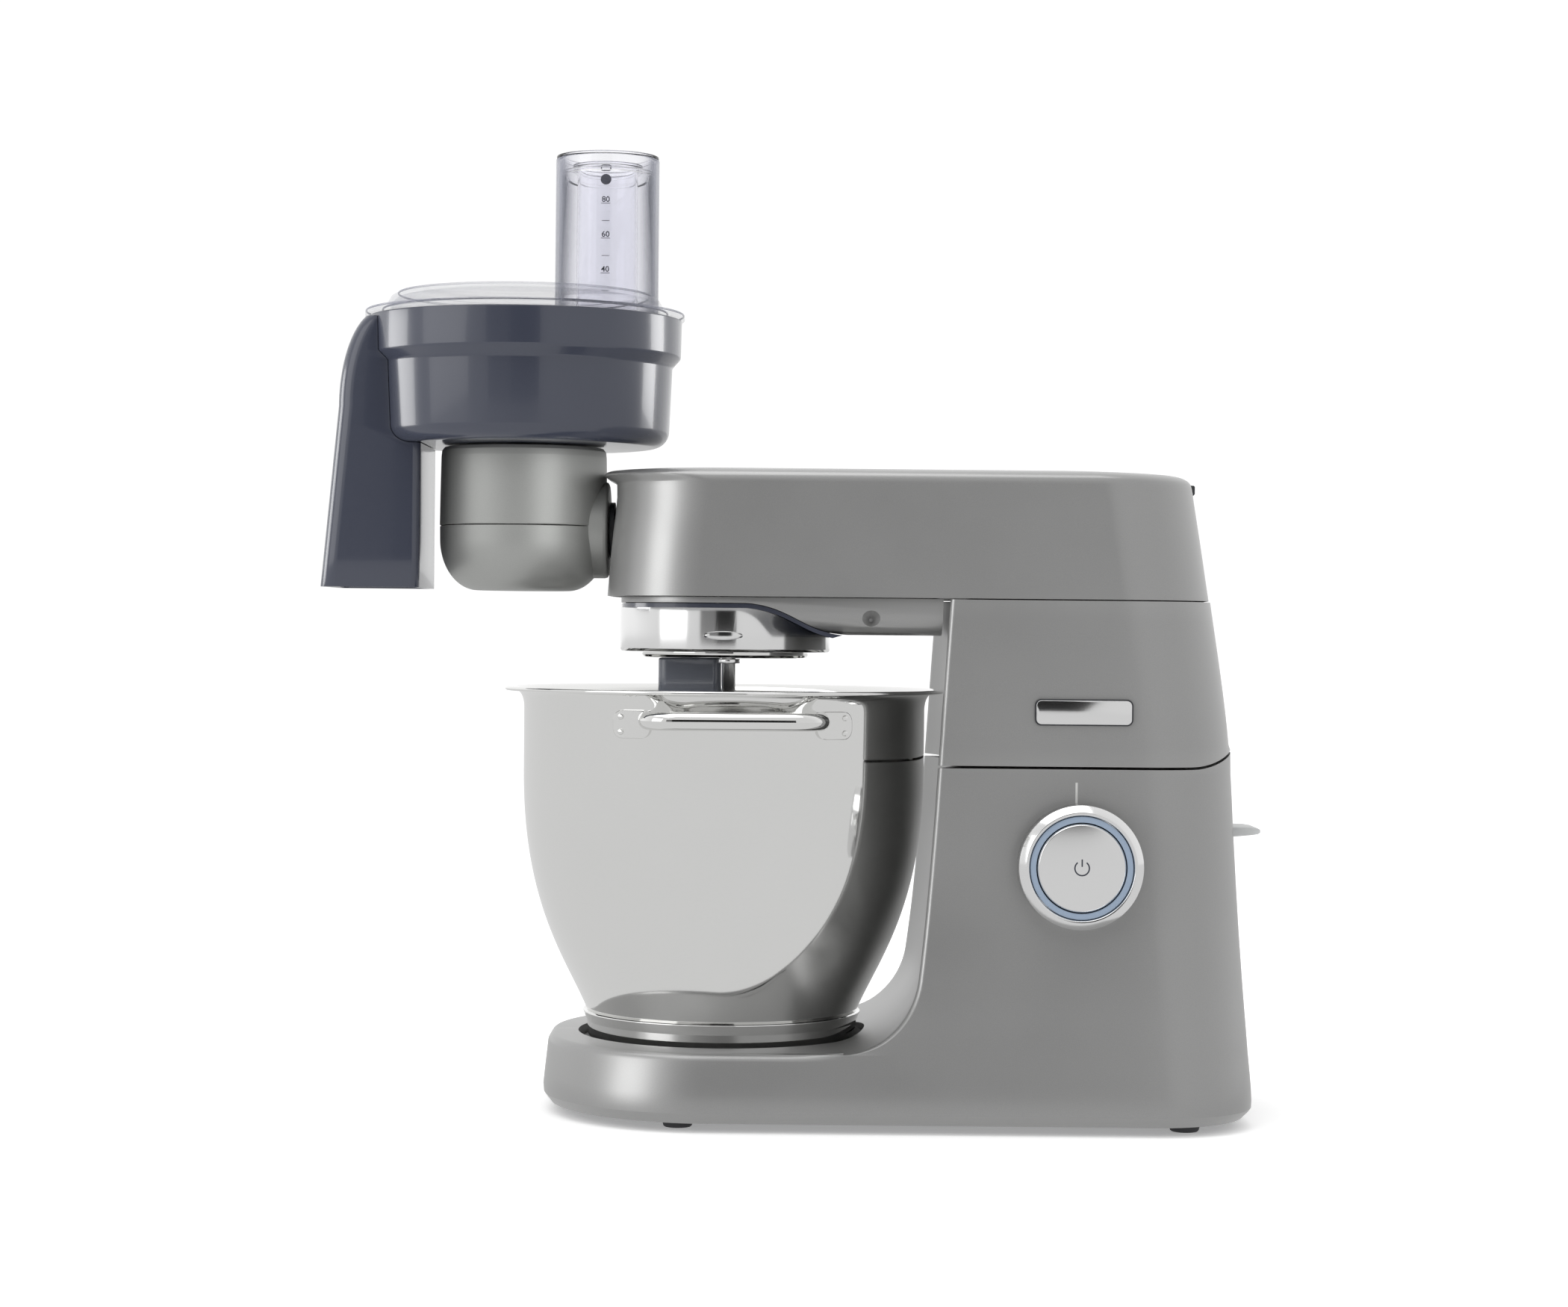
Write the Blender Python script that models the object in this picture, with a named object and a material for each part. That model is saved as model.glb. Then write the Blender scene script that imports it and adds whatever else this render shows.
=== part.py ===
"""Tilt-head stand mixer with a steel bowl and a rotary slicer on its front outlet.

Metres, +Z up, origin on the table under the middle of the object. The mixer's rear
is at +X, its slicer at -X, and its speed knob faces -Y. Each node is one closed
solid, modelled in world coordinates and parented to an empty on its body's joint axis.
"""
import bpy
import bmesh
from math import acos, asin, atan2, cos, pi, radians, sin, sqrt
from mathutils import Matrix, Vector

# ---------------------------------------------------------------- driving dimensions
GAP = 0.0004            # clearance between pieces that touch on the real object
WALL = 0.003            # cast wall of the mixer's body
PLASTIC = 0.0025        # moulded wall of the slicer

FEET_HEIGHT = 0.005
TONGUE_FRONT = -0.1425  # foremost point of the base
TONGUE_TOP = 0.0435
TONGUE_RADIUS = 0.095
REAR_RADIUS = 0.055
DECK_Z = 0.2020         # flat top of the column, where the head splits off
SPLIT_GAP = 0.0015
MID_TOP = 0.2965
HEAD_LOW = 0.2972

PIVOT = (0.225, 0.0, 0.250)     # tilt axis, along Y
DECK_ARC = PIVOT[2] - DECK_Z    # the deck behind the pivot is an arc about it
PIN_RADIUS = 0.0060

BOWL_X = -0.0395
BOWL_SEAT_Z = 0.0395
BOWL_RIM_Z = 0.2445
BOWL_TURN = radians(3.8)        # the bowl stands slightly turned in its seat
HANDLE_Z = 0.2280

HUB_RADIUS = 0.0615
PLATE_RADIUS = 0.0486
RING_TEETH, PLANET_TEETH, RING_PITCH = 24, 8, 0.048
PLANET_PITCH = RING_PITCH * PLANET_TEETH / RING_TEETH
PLANET_ANGLE = radians(-85)
TOOL_X = BOWL_X + (RING_PITCH - PLANET_PITCH) * cos(PLANET_ANGLE)
TOOL_Y = (RING_PITCH - PLANET_PITCH) * sin(PLANET_ANGLE)
TOOL_RADIUS = 0.0039

DRIVE_TEETH, PINION_TEETH, DRIVE_PITCH = 28, 7, 0.056
PINION_PITCH = DRIVE_PITCH * PINION_TEETH / DRIVE_TEETH
LAYSHAFT_X = BOWL_X + DRIVE_PITCH + PINION_PITCH
MOTOR_X = 0.155
BELT_Z = (0.3180, 0.3280)
LARGE_PULLEY, SMALL_PULLEY = 0.030, 0.010

OUTLET_Z = 0.3360               # low-speed outlet and slicer drive, along X
MITRE_PITCH, MITRE_TEETH = 0.018, 10

KNOB_X, KNOB_Z = 0.1610, 0.1484
KNOB_SEAT_Y = -0.0945

LEVER_X, LEVER_Z = 0.2360, 0.1630
LATCH_X, LATCH_Z = 0.1276, 0.1984     # top edge of the latch bolt's nose

DISH_X = -0.1585
DISH_LOW, DISH_STEP, DISH_TOP = 0.3845, 0.4370, 0.4590
DISH_LOWER_RADIUS, DISH_UPPER_RADIUS = 0.0865, 0.0919
SLICER_PITCH, SLICER_TEETH = 0.012, 8
CHUTE_LEFT, CHUTE_RIGHT = -0.2726, -0.2150
CHUTE_HALF, CHUTE_LOW = 0.043, 0.3010
TUBE_X = DISH_X + 0.0475
TUBE_RADIUS, TUBE_TOP = 0.0304, 0.5530

PAINT = ("silver_paint", (0.26, 0.26, 0.255), 0.35, 0.7)
STEEL = ("polished_steel", (0.75, 0.75, 0.74), 0.08, 1.0)
CHROME = ("chrome", (0.80, 0.80, 0.80), 0.05, 1.0)
SLATE = ("slate_plastic", (0.065, 0.074, 0.106), 0.25, 0.0)
TITANIUM = ("titanium_paint", (0.20, 0.21, 0.20), 0.35, 0.6)
CLEAR = ("clear_plastic", (0.90, 0.90, 0.95), 0.05, 0.0)
DARK = ("dark_plastic", (0.03, 0.032, 0.036), 0.4, 0.0)
RUBBER = ("rubber", (0.05, 0.05, 0.055), 0.7, 0.0)
GEAR = ("gear_steel", (0.45, 0.45, 0.45), 0.35, 1.0)
COPPER = ("winding", (0.55, 0.27, 0.14), 0.4, 1.0)
LIGHT = ("light_ring", (0.26, 0.33, 0.43), 0.3, 0.0)
LEVER_GREY = ("lever_grey", (0.55, 0.56, 0.56), 0.4, 0.0)

# Where each body turns or slides, and the body that carries it.
BODIES = {
    "base": (None, (0.0, 0.0, 0.0)),
    "head": ("base", PIVOT),
    "bowl": ("base", (BOWL_X, 0.0, BOWL_SEAT_Z)),
    "knob": ("base", (KNOB_X, KNOB_SEAT_Y, KNOB_Z)),
    "button": ("base", (KNOB_X, KNOB_SEAT_Y, KNOB_Z)),
    "lever": ("base", (LEVER_X, 0.0, LEVER_Z)),
    "latch": ("base", (LATCH_X, 0.0, LATCH_Z)),
    "hub": ("head", (BOWL_X, 0.0, 0.265)),
    "tool": ("hub", (TOOL_X, TOOL_Y, 0.265)),
    "layshaft": ("head", (LAYSHAFT_X, 0.0, 0.3)),
    "rotor": ("head", (MOTOR_X, 0.0, 0.25)),
    "outlet": ("head", (-0.0755, 0.0, OUTLET_Z)),
    "input": ("head", (-0.1200, 0.0, OUTLET_Z)),
    "disc": ("head", (DISH_X, 0.0, 0.36)),
    "lid": ("head", (DISH_X, 0.0, DISH_TOP)),
    "pusher": ("lid", (TUBE_X, 0.0, TUBE_TOP)),
    "small_pusher": ("pusher", (TUBE_X, 0.0, TUBE_TOP)),
    "cover": ("head", (0.19, 0.0, 0.36)),
}


# ---------------------------------------------------------------- outlines and solids
def arc(centre, radius, start, end, steps, stretch=1.0):
    """Points on an arc in a plane, angles in degrees; stretch scales its height."""
    angles = [radians(start + (end - start) * i / steps) for i in range(steps + 1)]
    return [(centre[0] + radius * cos(a), centre[1] + stretch * radius * sin(a)) for a in angles]


def bezier(p0, p1, p2, p3, steps):
    """Points on a cubic curve."""
    points = []
    for i in range(steps + 1):
        t = i / steps
        weights = ((1 - t) ** 3, 3 * t * (1 - t) ** 2, 3 * t * t * (1 - t), t ** 3)
        points.append(tuple(sum(w * p[k] for w, p in zip(weights, (p0, p1, p2, p3))) for k in (0, 1)))
    return points


def rounded(corners, radii, steps=6):
    """A closed outline with each corner replaced by an arc of its own radius."""
    outline = []
    for i, corner in enumerate(corners):
        here = Vector(corner)
        back = (Vector(corners[i - 1]) - here).normalized()
        ahead = (Vector(corners[(i + 1) % len(corners)]) - here).normalized()
        half = acos(max(-1.0, min(1.0, back.dot(ahead)))) / 2
        radius = radii[i] if isinstance(radii, (list, tuple)) else radii
        if radius <= 0:
            outline.append(tuple(here))
            continue
        centre = here + (back + ahead).normalized() * (radius / sin(half))
        first = here + back * (radius / (sin(half) / cos(half))) - centre
        last = here + ahead * (radius / (sin(half) / cos(half))) - centre
        sweep = atan2(first.x * last.y - first.y * last.x, first.dot(last))
        for k in range(steps + 1):
            turn = Matrix.Rotation(sweep * k / steps, 2)
            outline.append(tuple(centre + turn @ first))
    return outline


def rectangle(x0, x1, y0, y1):
    return [(x0, y0), (x1, y0), (x1, y1), (x0, y1)]


def solid(rings):
    """A closed solid through rings of equal length, capped at both ends."""
    bm = bmesh.new()
    loops = [[bm.verts.new(point) for point in ring] for ring in rings]
    count = len(rings[0])
    for low, high in zip(loops, loops[1:]):
        for i in range(count):
            bm.faces.new((low[i], low[(i + 1) % count], high[(i + 1) % count], high[i]))
    bm.faces.new(loops[0])
    bm.faces.new(loops[-1])
    bmesh.ops.recalc_face_normals(bm, faces=bm.faces)
    return bm


def prism_y(outline, low, high):
    """An outline in X and Z, drawn along Y."""
    return solid([[(x, y, z) for x, z in outline] for y in (low, high)])


def prism_z(outline, low, high):
    """An outline in X and Y, drawn along Z."""
    return solid([[(x, y, z) for x, y in outline] for z in (low, high)])


def box(x0, x1, y0, y1, z0, z1):
    return prism_z(rectangle(x0, x1, y0, y1), z0, z1)


def turned(profile, centre, axis="Z", steps=24):
    """A closed profile of (radius, height) turned about an axis through a centre."""
    bm = bmesh.new()
    verts = [bm.verts.new((r, 0.0, h)) for r, h in profile]
    edges = []
    for a, b in zip(verts, verts[1:] + verts[:1]):
        if a.co.x > 0 or b.co.x > 0:
            edges.append(bm.edges.new((a, b)))
    bmesh.ops.spin(bm, geom=verts + edges, cent=(0, 0, 0), axis=(0, 0, 1), angle=2 * pi,
                   steps=steps, use_merge=True)
    bmesh.ops.remove_doubles(bm, verts=bm.verts, dist=1e-6)
    bmesh.ops.recalc_face_normals(bm, faces=bm.faces)
    turn = {"Z": Matrix(), "X": Matrix.Rotation(pi / 2, 4, "Y"), "Y": Matrix.Rotation(-pi / 2, 4, "X")}
    bm.transform(Matrix.Translation(centre) @ turn[axis])
    return bm


def rod(radius, low, high, centre, axis="Z", steps=16):
    """A round bar; low and high are measured along its axis from the centre."""
    return turned([(0, low), (radius, low), (radius, high), (0, high)], centre, axis, steps)


def ring(inner, outer, low, high, centre, axis="Z", steps=24):
    """A round tube."""
    profile = [(inner, low), (outer, low), (outer, high), (inner, high)]
    return turned(profile, centre, axis, steps)


def tooth_outline(teeth, pitch, phase, inward=False):
    """A gear's outline with straight-sided teeth; a tooth is centred on the phase."""
    module = 2 * pitch / teeth
    side = -1 if inward else 1
    tip, root = pitch + side * 0.8 * module, pitch - side * 1.1 * module
    step = 2 * pi / teeth
    points = []
    for i in range(teeth):
        middle = phase + i * step
        for share, radius in ((-0.28, root), (-0.11, tip), (0.11, tip), (0.28, root)):
            angle = middle + share * step
            points.append((radius * cos(angle), radius * sin(angle)))
    return points


def spur(teeth, pitch, phase, low, high, centre):
    outline = tooth_outline(teeth, pitch, phase)
    return prism_z([(centre[0] + x, centre[1] + y) for x, y in outline], low, high)


def bevel_gear(teeth, pitch, phase, apex, frame):
    """A mitre gear whose teeth run towards the apex; frame's third column points to it."""
    outline = tooth_outline(teeth, pitch, phase)
    rings = []
    for share in (1.0, 0.6):
        rings.append([(share * x, share * y, -share * pitch) for x, y in outline])
    bm = solid(rings)
    bm.transform(Matrix.Translation(apex) @ frame)
    return bm


# ---------------------------------------------------------------- Booleans and objects
def temporary(bm):
    mesh = bpy.data.meshes.new("temporary")
    bm.to_mesh(mesh)
    bm.free()
    obj = bpy.data.objects.new("temporary", mesh)
    bpy.context.collection.objects.link(obj)
    return obj


def combined(bm, operation, *others):
    """The solid after joining, cutting or intersecting it with each of the others."""
    target = temporary(bm)
    tools = [temporary(other) for other in others]
    for tool in tools:
        tool.hide_render = True
        tool.display_type = "WIRE"
        modifier = target.modifiers.new("combine", "BOOLEAN")
        modifier.operation = operation
        modifier.object = tool
    depsgraph = bpy.context.evaluated_depsgraph_get()
    result = bmesh.new()
    result.from_object(target, depsgraph)
    bmesh.ops.remove_doubles(result, verts=result.verts, dist=2e-6)
    bmesh.ops.dissolve_degenerate(result, edges=result.edges, dist=2e-6)
    for obj in [target, *tools]:
        bpy.data.objects.remove(obj)
    return result


def cut(bm, *others):
    return combined(bm, "DIFFERENCE", *others)


def join(bm, *others):
    return combined(bm, "UNION", *others)


def overlap(bm, *others):
    return combined(bm, "INTERSECT", *others)


def material(look):
    name, colour, roughness, metallic = look
    found = bpy.data.materials.get(name)
    if found:
        return found
    made = bpy.data.materials.new(name)
    made.use_nodes = True
    shader = made.node_tree.nodes["Principled BSDF"]
    shader.inputs["Base Color"].default_value = (*colour, 1.0)
    shader.inputs["Roughness"].default_value = roughness
    shader.inputs["Metallic"].default_value = metallic
    return made


def make_bodies():
    """One empty per body, on its joint's axis, parented as the joints are."""
    for name, (parent, place) in BODIES.items():
        empty = bpy.data.objects.new("body_" + name, None)
        bpy.context.collection.objects.link(empty)
        start = Vector((0, 0, 0))
        if parent:
            empty.parent = bpy.data.objects["body_" + parent]
            start = Vector(BODIES[parent][1])
        empty.location = Vector(place) - start


def add(name, bm, body, look, sharp=35):
    """Store a solid as a named node of a body, with its origin on the joint's axis."""
    bm.transform(Matrix.Translation(-Vector(BODIES[body][1])))
    mesh = bpy.data.meshes.new(name)
    bm.to_mesh(mesh)
    bm.free()
    mesh.materials.append(material(look))
    mesh.shade_smooth()
    mesh.set_sharp_from_angle(angle=radians(sharp))
    obj = bpy.data.objects.new(name, mesh)
    bpy.context.collection.objects.link(obj)
    obj.parent = bpy.data.objects["body_" + body]
    return obj


# ---------------------------------------------------------------- mixer body
# Height, half width and rear edge of the base and column.
BODY_LEVELS = [
    (0.005, 0.1085, 0.2585),
    (0.012, 0.1130, 0.2630),
    (0.044, 0.1075, 0.2612),
    (0.080, 0.0990, 0.2592),
    (0.120, 0.0925, 0.2570),
    (0.160, 0.0900, 0.2548),
    (0.210, 0.0885, 0.2520),
    (0.310, 0.0870, 0.2385),
]


def column_front():
    """Crease of the column's front: a fillet out of the tongue, then a slow S."""
    fillet = arc((0.0270, TONGUE_TOP + 0.0460), 0.0460, -90, -8, 7)
    return fillet + bezier(fillet[-1], (0.0775, 0.125), (0.0790, 0.190), (0.0870, 0.310), 6)[1:]


def hollowed_front(inset):
    """What the column's concave front takes away, deeper towards the top."""
    rings = []
    for x, z in column_front()[4:]:
        depth = 0.0165 * min(1.0, (z - 0.05) / 0.12) ** 0.8
        middle = x + depth + inset
        radius = (0.09 ** 2 + depth ** 2) / (2 * depth)
        half = asin(0.125 / radius)
        turns = [half * k / 6 for k in range(-6, 7)]
        hollow = [(middle - radius + radius * cos(a), radius * sin(a)) for a in turns]
        rings.append([(px, py, z) for px, py in hollow + [(-0.30, 0.125), (-0.30, -0.125)]])
    top = [(x, y, z + 0.02) for x, y, z in rings[-1]]
    return solid(rings + [top])


def body_block(inset):
    """The base, column and middle section as one tall solid, shrunk by an inset."""
    rings = []
    for z, half, rear in BODY_LEVELS:
        front = TONGUE_FRONT + 0.0045 * (z < 0.01) + 0.003 * (z > 0.04)
        corners = rectangle(front + inset, rear - inset, inset - half, half - inset)
        nose = min(TONGUE_RADIUS, half - 0.005) - inset
        radii = [nose, REAR_RADIUS - inset, REAR_RADIUS - inset, nose]
        rings.append([(x, y, z) for x, y in rounded(corners, radii, 4)])
    if inset:
        rings[0] = [(x, y, -0.01) for x, y, _ in rings[0]]
    crease = [(x + inset, z) for x, z in column_front()]
    crease[0] = (crease[0][0], TONGUE_TOP - inset)
    side = [(-0.3, -0.02), (-0.3, TONGUE_TOP - inset)] + crease
    side += [(0.0870 + inset, 0.33), (0.3, 0.33), (0.3, -0.02)]
    return cut(overlap(solid(rings), prism_y(side, -0.2, 0.2)), hollowed_front(inset))


def split_line(radius):
    """The level line at the split, then the arc about the tilt axis behind it."""
    level = PIVOT[2] - radius
    return [(-0.35, level)] + arc((PIVOT[0], PIVOT[2]), radius, -90, -40, 8) + [(0.35, PIVOT[2] - 0.02)]


def under_deck(radius):
    return prism_y(split_line(radius) + [(0.35, -0.05), (-0.35, -0.05)], -0.2, 0.2)


def base_housing():
    outside = overlap(body_block(0.0), under_deck(DECK_ARC))
    shell = cut(outside, overlap(body_block(WALL), under_deck(DECK_ARC + WALL)))
    pad = rod(0.0330, -0.0885, KNOB_SEAT_Y, (KNOB_X, 0, KNOB_Z), "Y", 28)
    shell = join(shell, pad)
    seat = rod(0.0838, 0.0360, 0.0600, (BOWL_X, 0, 0), steps=24)
    well = rod(0.0872, 0.0330, TONGUE_TOP - 0.001, (BOWL_X, 0, 0), steps=24)
    shell = cut(join(shell, well), seat)
    button_hole = rod(0.0112, -0.12, -0.07, (KNOB_X, 0, KNOB_Z), "Y")
    lever_slot = box(0.244, 0.27, -0.0215, 0.0215, LEVER_Z - 0.0045, LEVER_Z + 0.0155)
    gland_hole = rod(0.0078, 0.25, 0.28, (0, 0.03, 0.03), "X")
    striker_slot = box(0.1030, 0.1290, -0.0110, 0.0110, 0.19, 0.21)
    shell = cut(shell, button_hole, lever_slot, gland_hole, striker_slot)
    add("base_housing", shell, "base", PAINT)


def base_plate_and_feet():
    corners = rectangle(TONGUE_FRONT + 0.0045 + WALL, 0.2585 - WALL, -0.1085 + WALL, 0.1085 - WALL)
    inner = [TONGUE_RADIUS - WALL, REAR_RADIUS - WALL]
    outline = rounded([(x + GAP * (1 if x < 0 else -1), y - GAP * (1 if y > 0 else -1)) for x, y in corners],
                      [inner[0], inner[1], inner[1], inner[0]], 6)
    add("base_plate", prism_z(outline, FEET_HEIGHT, FEET_HEIGHT + 0.0025), "base", DARK)
    for end, x in (("front", -0.062), ("rear", 0.222)):
        for side, y in (("near", -0.085), ("far", 0.085)):
            foot = turned([(0, 0), (0.0080, 0), (0.0092, 0.0047), (0, 0.0047)], (x, y, 0), steps=12)
            add("foot_" + end + "_" + side, foot, "base", RUBBER)


def bowl_seat():
    """A raised boss with three lugs that the bowl's foot turns under."""
    low = 0.0360 + GAP
    seat = turned([(0, low), (0.0820, low), (0.0820, low + 0.0022), (0.0600, low + 0.0022), (0.0600, 0.0480),
                   (0, 0.0480)], (BOWL_X, 0, 0), steps=28)
    lugs = [sector(0.0580, 0.0675, 0.0447, 0.0475, 120 * i + 11, 120 * i + 47) for i in range(3)]
    add("bowl_seat", join(seat, *lugs), "base", DARK)


def sector(inner, outer, low, high, start, end):
    """Part of a flat ring about the bowl's axis, between two angles in degrees."""
    outline = arc((BOWL_X, 0), inner, start, end, 4) + arc((BOWL_X, 0), outer, end, start, 4)
    return prism_z(outline, low, high)


def hinge():
    """Two cheeks on the deck with the tilt pin through them."""
    x, z = PIVOT[0], PIVOT[2]
    foot = DECK_Z + GAP
    side = [(x - 0.045, foot), (x - 0.012, foot), (x + 0.010, z - 0.008)]
    side += arc((x, z), 0.0128, -38, 145, 8) + [(x - 0.040, foot + 0.006)]
    for name, y in (("near", -0.0510), ("far", 0.0450)):
        hole = rod(PIN_RADIUS + GAP, -0.1, 0.1, (x, 0, z), "Y", 12)
        add("hinge_cheek_" + name, cut(prism_y(side, y, y + 0.006), hole), "base", GEAR)
    add("hinge_pin", rod(PIN_RADIUS, -0.0530, 0.0530, (x, 0, z), "Y", 12), "base", GEAR)


def controls():
    centre = (KNOB_X, 0, KNOB_Z)
    core = turned([(0, -0.0840), (0.0105, -0.0840), (0.0105, -0.0978), (0.0285, -0.0978), (0.0285, -0.0990),
                   (0, -0.0990)], centre, "Y", 28)
    add("button_core", core, "base", DARK)
    add("light_ring", ring(0.0252, 0.0286, -0.1096, -0.0994, centre, "Y", 28), "base", LIGHT)
    dial = turned([(0.0290, -0.1100), (0.0305, -0.1108), (0.0348, -0.1068), (0.0348, -0.0950), (0.0112, -0.0950),
                   (0.0112, -0.0974), (0.0290, -0.0974)], centre, "Y", 28)
    add("speed_knob", dial, "knob", CHROME)
    button = turned([(0, -0.1015), (0.0246, -0.1015), (0.0246, -0.1095), (0.0238, -0.1102), (0, -0.1102)],
                    centre, "Y", 28)
    add("power_button", button, "button", CHROME)
    gland = turned([(0.0035, 0.2530), (0.0072, 0.2530), (0.0072, 0.2628), (0.0095, 0.2628), (0.0095, 0.2660),
                    (0.0035, 0.2668)], (0, 0.03, 0.03), "X", 12)
    add("cord_gland", gland, "base", RUBBER)


def lift_lever():
    """A tab through the rear wall that draws back the latch bolt under the deck."""
    x, z = LEVER_X, LEVER_Z
    corners = [(x - 0.006, z - 0.006), (x + 0.010, z - 0.003), (x + 0.0375, z - 0.001),
               (x + 0.0375, z + 0.003), (x + 0.010, z + 0.0035), (x - 0.006, z + 0.006)]
    tab = rounded(corners, [0.002, 0, 0.0015, 0.0015, 0, 0.002], 3)
    lever = join(prism_y(tab, -0.0200, 0.0200), rod(0.0050, -0.0300, 0.0300, (x, 0, z), "Y", 12))
    add("lift_lever", lever, "lever", LEVER_GREY)
    nose, heel, tail = LATCH_X, LATCH_X + 0.0280, LATCH_X + 0.0320
    bolt = [(nose, LATCH_Z), (nose, LATCH_Z - 0.0030), (heel, LATCH_Z - 0.0030),
            (heel, LATCH_Z - 0.0150), (tail, LATCH_Z - 0.0150), (tail, LATCH_Z)]
    add("latch_bolt", prism_y(bolt, -0.0080, 0.0080), "latch", GEAR)


def middle_section():
    """The part of the column that tilts with the head: a ring with a split lower edge."""
    low = split_line(DECK_ARC - SPLIT_GAP)
    band = prism_y(low + [(0.35, MID_TOP), (-0.35, MID_TOP)], -0.2, 0.2)
    shell = cut(overlap(body_block(0.0), band), body_block(WALL))
    add("mid_housing", shell, "head", PAINT)
    plate = rounded(rectangle(0.1363, 0.1903, 0.2270, 0.2408), 0.0030, 4)
    add("badge_plate", prism_y(plate, -0.0903, -0.0888), "head", CHROME)


# ---------------------------------------------------------------- head
# Height, half width, front edge and rear edge of the head, up to its crowned top.
HEAD_LEVELS = [
    (HEAD_LOW, 0.0870, -0.1070, 0.2395),
    (0.3300, 0.0862, -0.1045, 0.2345),
    (0.3550, 0.0855, -0.1020, 0.2305),
    (0.3615, 0.0852, -0.1022, 0.2295),
    (0.3645, 0.0847, -0.1062, 0.2285),
    (0.3665, 0.0835, -0.1095, 0.2265),
    (0.3685, 0.0795, -0.1080, 0.2220),
    (0.3702, 0.0650, -0.0960, 0.2050),
    (0.3710, 0.0450, -0.0760, 0.1800),
]


def head_block(inset):
    rings = []
    for z, half, front, rear in HEAD_LEVELS:
        corners = rectangle(front + inset, rear - inset, inset - half, half - inset)
        radius = min(0.055, half - 0.010) - inset
        lift = z - inset if z > HEAD_LOW else z - 0.01 * (inset > 0)
        rings.append([(x, y, lift) for x, y in rounded(corners, radius, 4)])
    return solid(rings)


def head_shell():
    cover_zone = box(0.1500, 0.3, -0.0360, 0.0360, 0.3560, 0.4)
    opening = box(0.1500 - GAP, 0.3, -0.0360 - GAP, 0.0360 + GAP, 0.3560 - GAP, 0.4)
    socket_hole = rod(0.0200, -0.12, -0.09, (0, 0, OUTLET_Z), "X", 16)
    add("head_shell", cut(head_block(0.0), head_block(WALL), opening, socket_hole), "head", PAINT)
    cover = cut(overlap(head_block(0.0), cover_zone), head_block(WALL))
    add("outlet_cover", cover, "cover", PAINT)
    tab = rounded(rectangle(0.2312, 0.2345, 0.3575, 0.3655), 0.0010, 2)
    add("outlet_cover_tab", prism_y(tab, -0.0090, 0.0090), "cover", DARK)


def belly_line(drop):
    """Underside of the head's casting: level over the hub, then down to the belly."""
    slope = bezier((-0.0260, 0.2935), (0.0000, 0.2915), (0.0060, 0.2770), (0.0310, 0.2760), 8)
    return [(x, z - drop) for x, z in [(-0.0950, 0.2935)] + slope]


def underside():
    plan = rounded(rectangle(-0.0990, 0.0960, -0.0815, 0.0815), [0.050, 0.003, 0.003, 0.050], 6)
    inner_plan = rounded(rectangle(-0.0960, 0.0930, -0.0785, 0.0785), [0.047, 0.001, 0.001, 0.047], 6)
    top = HEAD_LOW - 0.0004
    side = [(-0.1500, top), (-0.1500, 0.2935)] + belly_line(0)[1:] + [(0.0840, 0.2760), (0.0845, top)]
    inner = [(-0.1500, 0.33), (-0.1500, 0.2953)] + belly_line(-0.0025)[1:] + [(0.0810, 0.2785), (0.0815, 0.33)]
    hollow = overlap(prism_y(inner, -0.2, 0.2), prism_z(inner_plan, 0.2, 0.34))
    well = rod(HUB_RADIUS + 0.0008, 0.20, 0.35, (BOWL_X, 0, 0), steps=28)
    casting = overlap(prism_y(side, -0.2, 0.2), prism_z(plan, 0.2, 0.3))
    add("head_underside", cut(casting, hollow, well), "head", PAINT)
    strip = [(-0.1500, 0.2931), (-0.1500, 0.2905)] + belly_line(0.0032) + belly_line(0.0004)[::-1][:-1]
    well = rod(HUB_RADIUS + 0.0008, 0.20, 0.35, (BOWL_X, 0, 0), steps=28)
    trim_plan = rounded(rectangle(-0.0985, 0.0960, -0.0790, 0.0790), [0.049, 0.003, 0.003, 0.049], 6)
    trim = overlap(prism_y(strip, -0.2, 0.2), prism_z(trim_plan, 0.2, 0.3))
    add("underside_trim", cut(trim, well), "head", SLATE)


def chassis():
    """The plate that carries the drive, with two lugs down to the tilt pin."""
    plan = rounded(rectangle(-0.0940, 0.2290, -0.0770, 0.0770), 0.0560, 4)
    plate = prism_z(plan, HEAD_LOW + 0.0003, HEAD_LOW + 0.0025)
    x, z = PIVOT[0], PIVOT[2]
    side = [(x - 0.013, HEAD_LOW + 0.0010), (x - 0.011, z)] + arc((x, z), 0.011, 180, 360, 8)[1:]
    side += [(x + 0.002, HEAD_LOW + 0.0010)]
    lugs = [prism_y(side, y, y + 0.005) for y in (-0.0430, 0.0380)]
    plate = join(plate, *lugs)
    holes = [rod(PIN_RADIUS + GAP, -0.1, 0.1, (x, 0, z), "Y", 12),
             rod(0.0078, 0.28, 0.32, (BOWL_X, 0, 0)),
             rod(0.0050, 0.28, 0.32, (LAYSHAFT_X, 0, 0)),
             rod(0.0060, 0.28, 0.32, (MOTOR_X, 0, 0))]
    add("head_chassis", cut(plate, *holes), "head", GEAR)
    post = [(0.1120, 0.2965), (0.1120, 0.1920), (0.1270, 0.1920), (0.1270, 0.1950),
            (0.1150, 0.1950), (0.1150, 0.2965)]
    add("latch_striker", prism_y(post, -0.0060, 0.0060), "head", GEAR)


def motor():
    centre = (MOTOR_X, 0, 0)
    add("motor_stator", ring(0.0262, 0.0360, 0.2180, 0.2860, centre, steps=28), "head", COPPER)
    low, high = BELT_Z
    rotor = turned([(0, 0.2100), (0.0040, 0.2100), (0.0040, 0.2200), (0.0252, 0.2200), (0.0252, 0.2840),
                    (0.0040, 0.2840), (0.0040, low), (SMALL_PULLEY, low), (SMALL_PULLEY, high), (0, high)],
                   centre, steps=24)
    add("motor_rotor", rotor, "rotor", GEAR)


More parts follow.
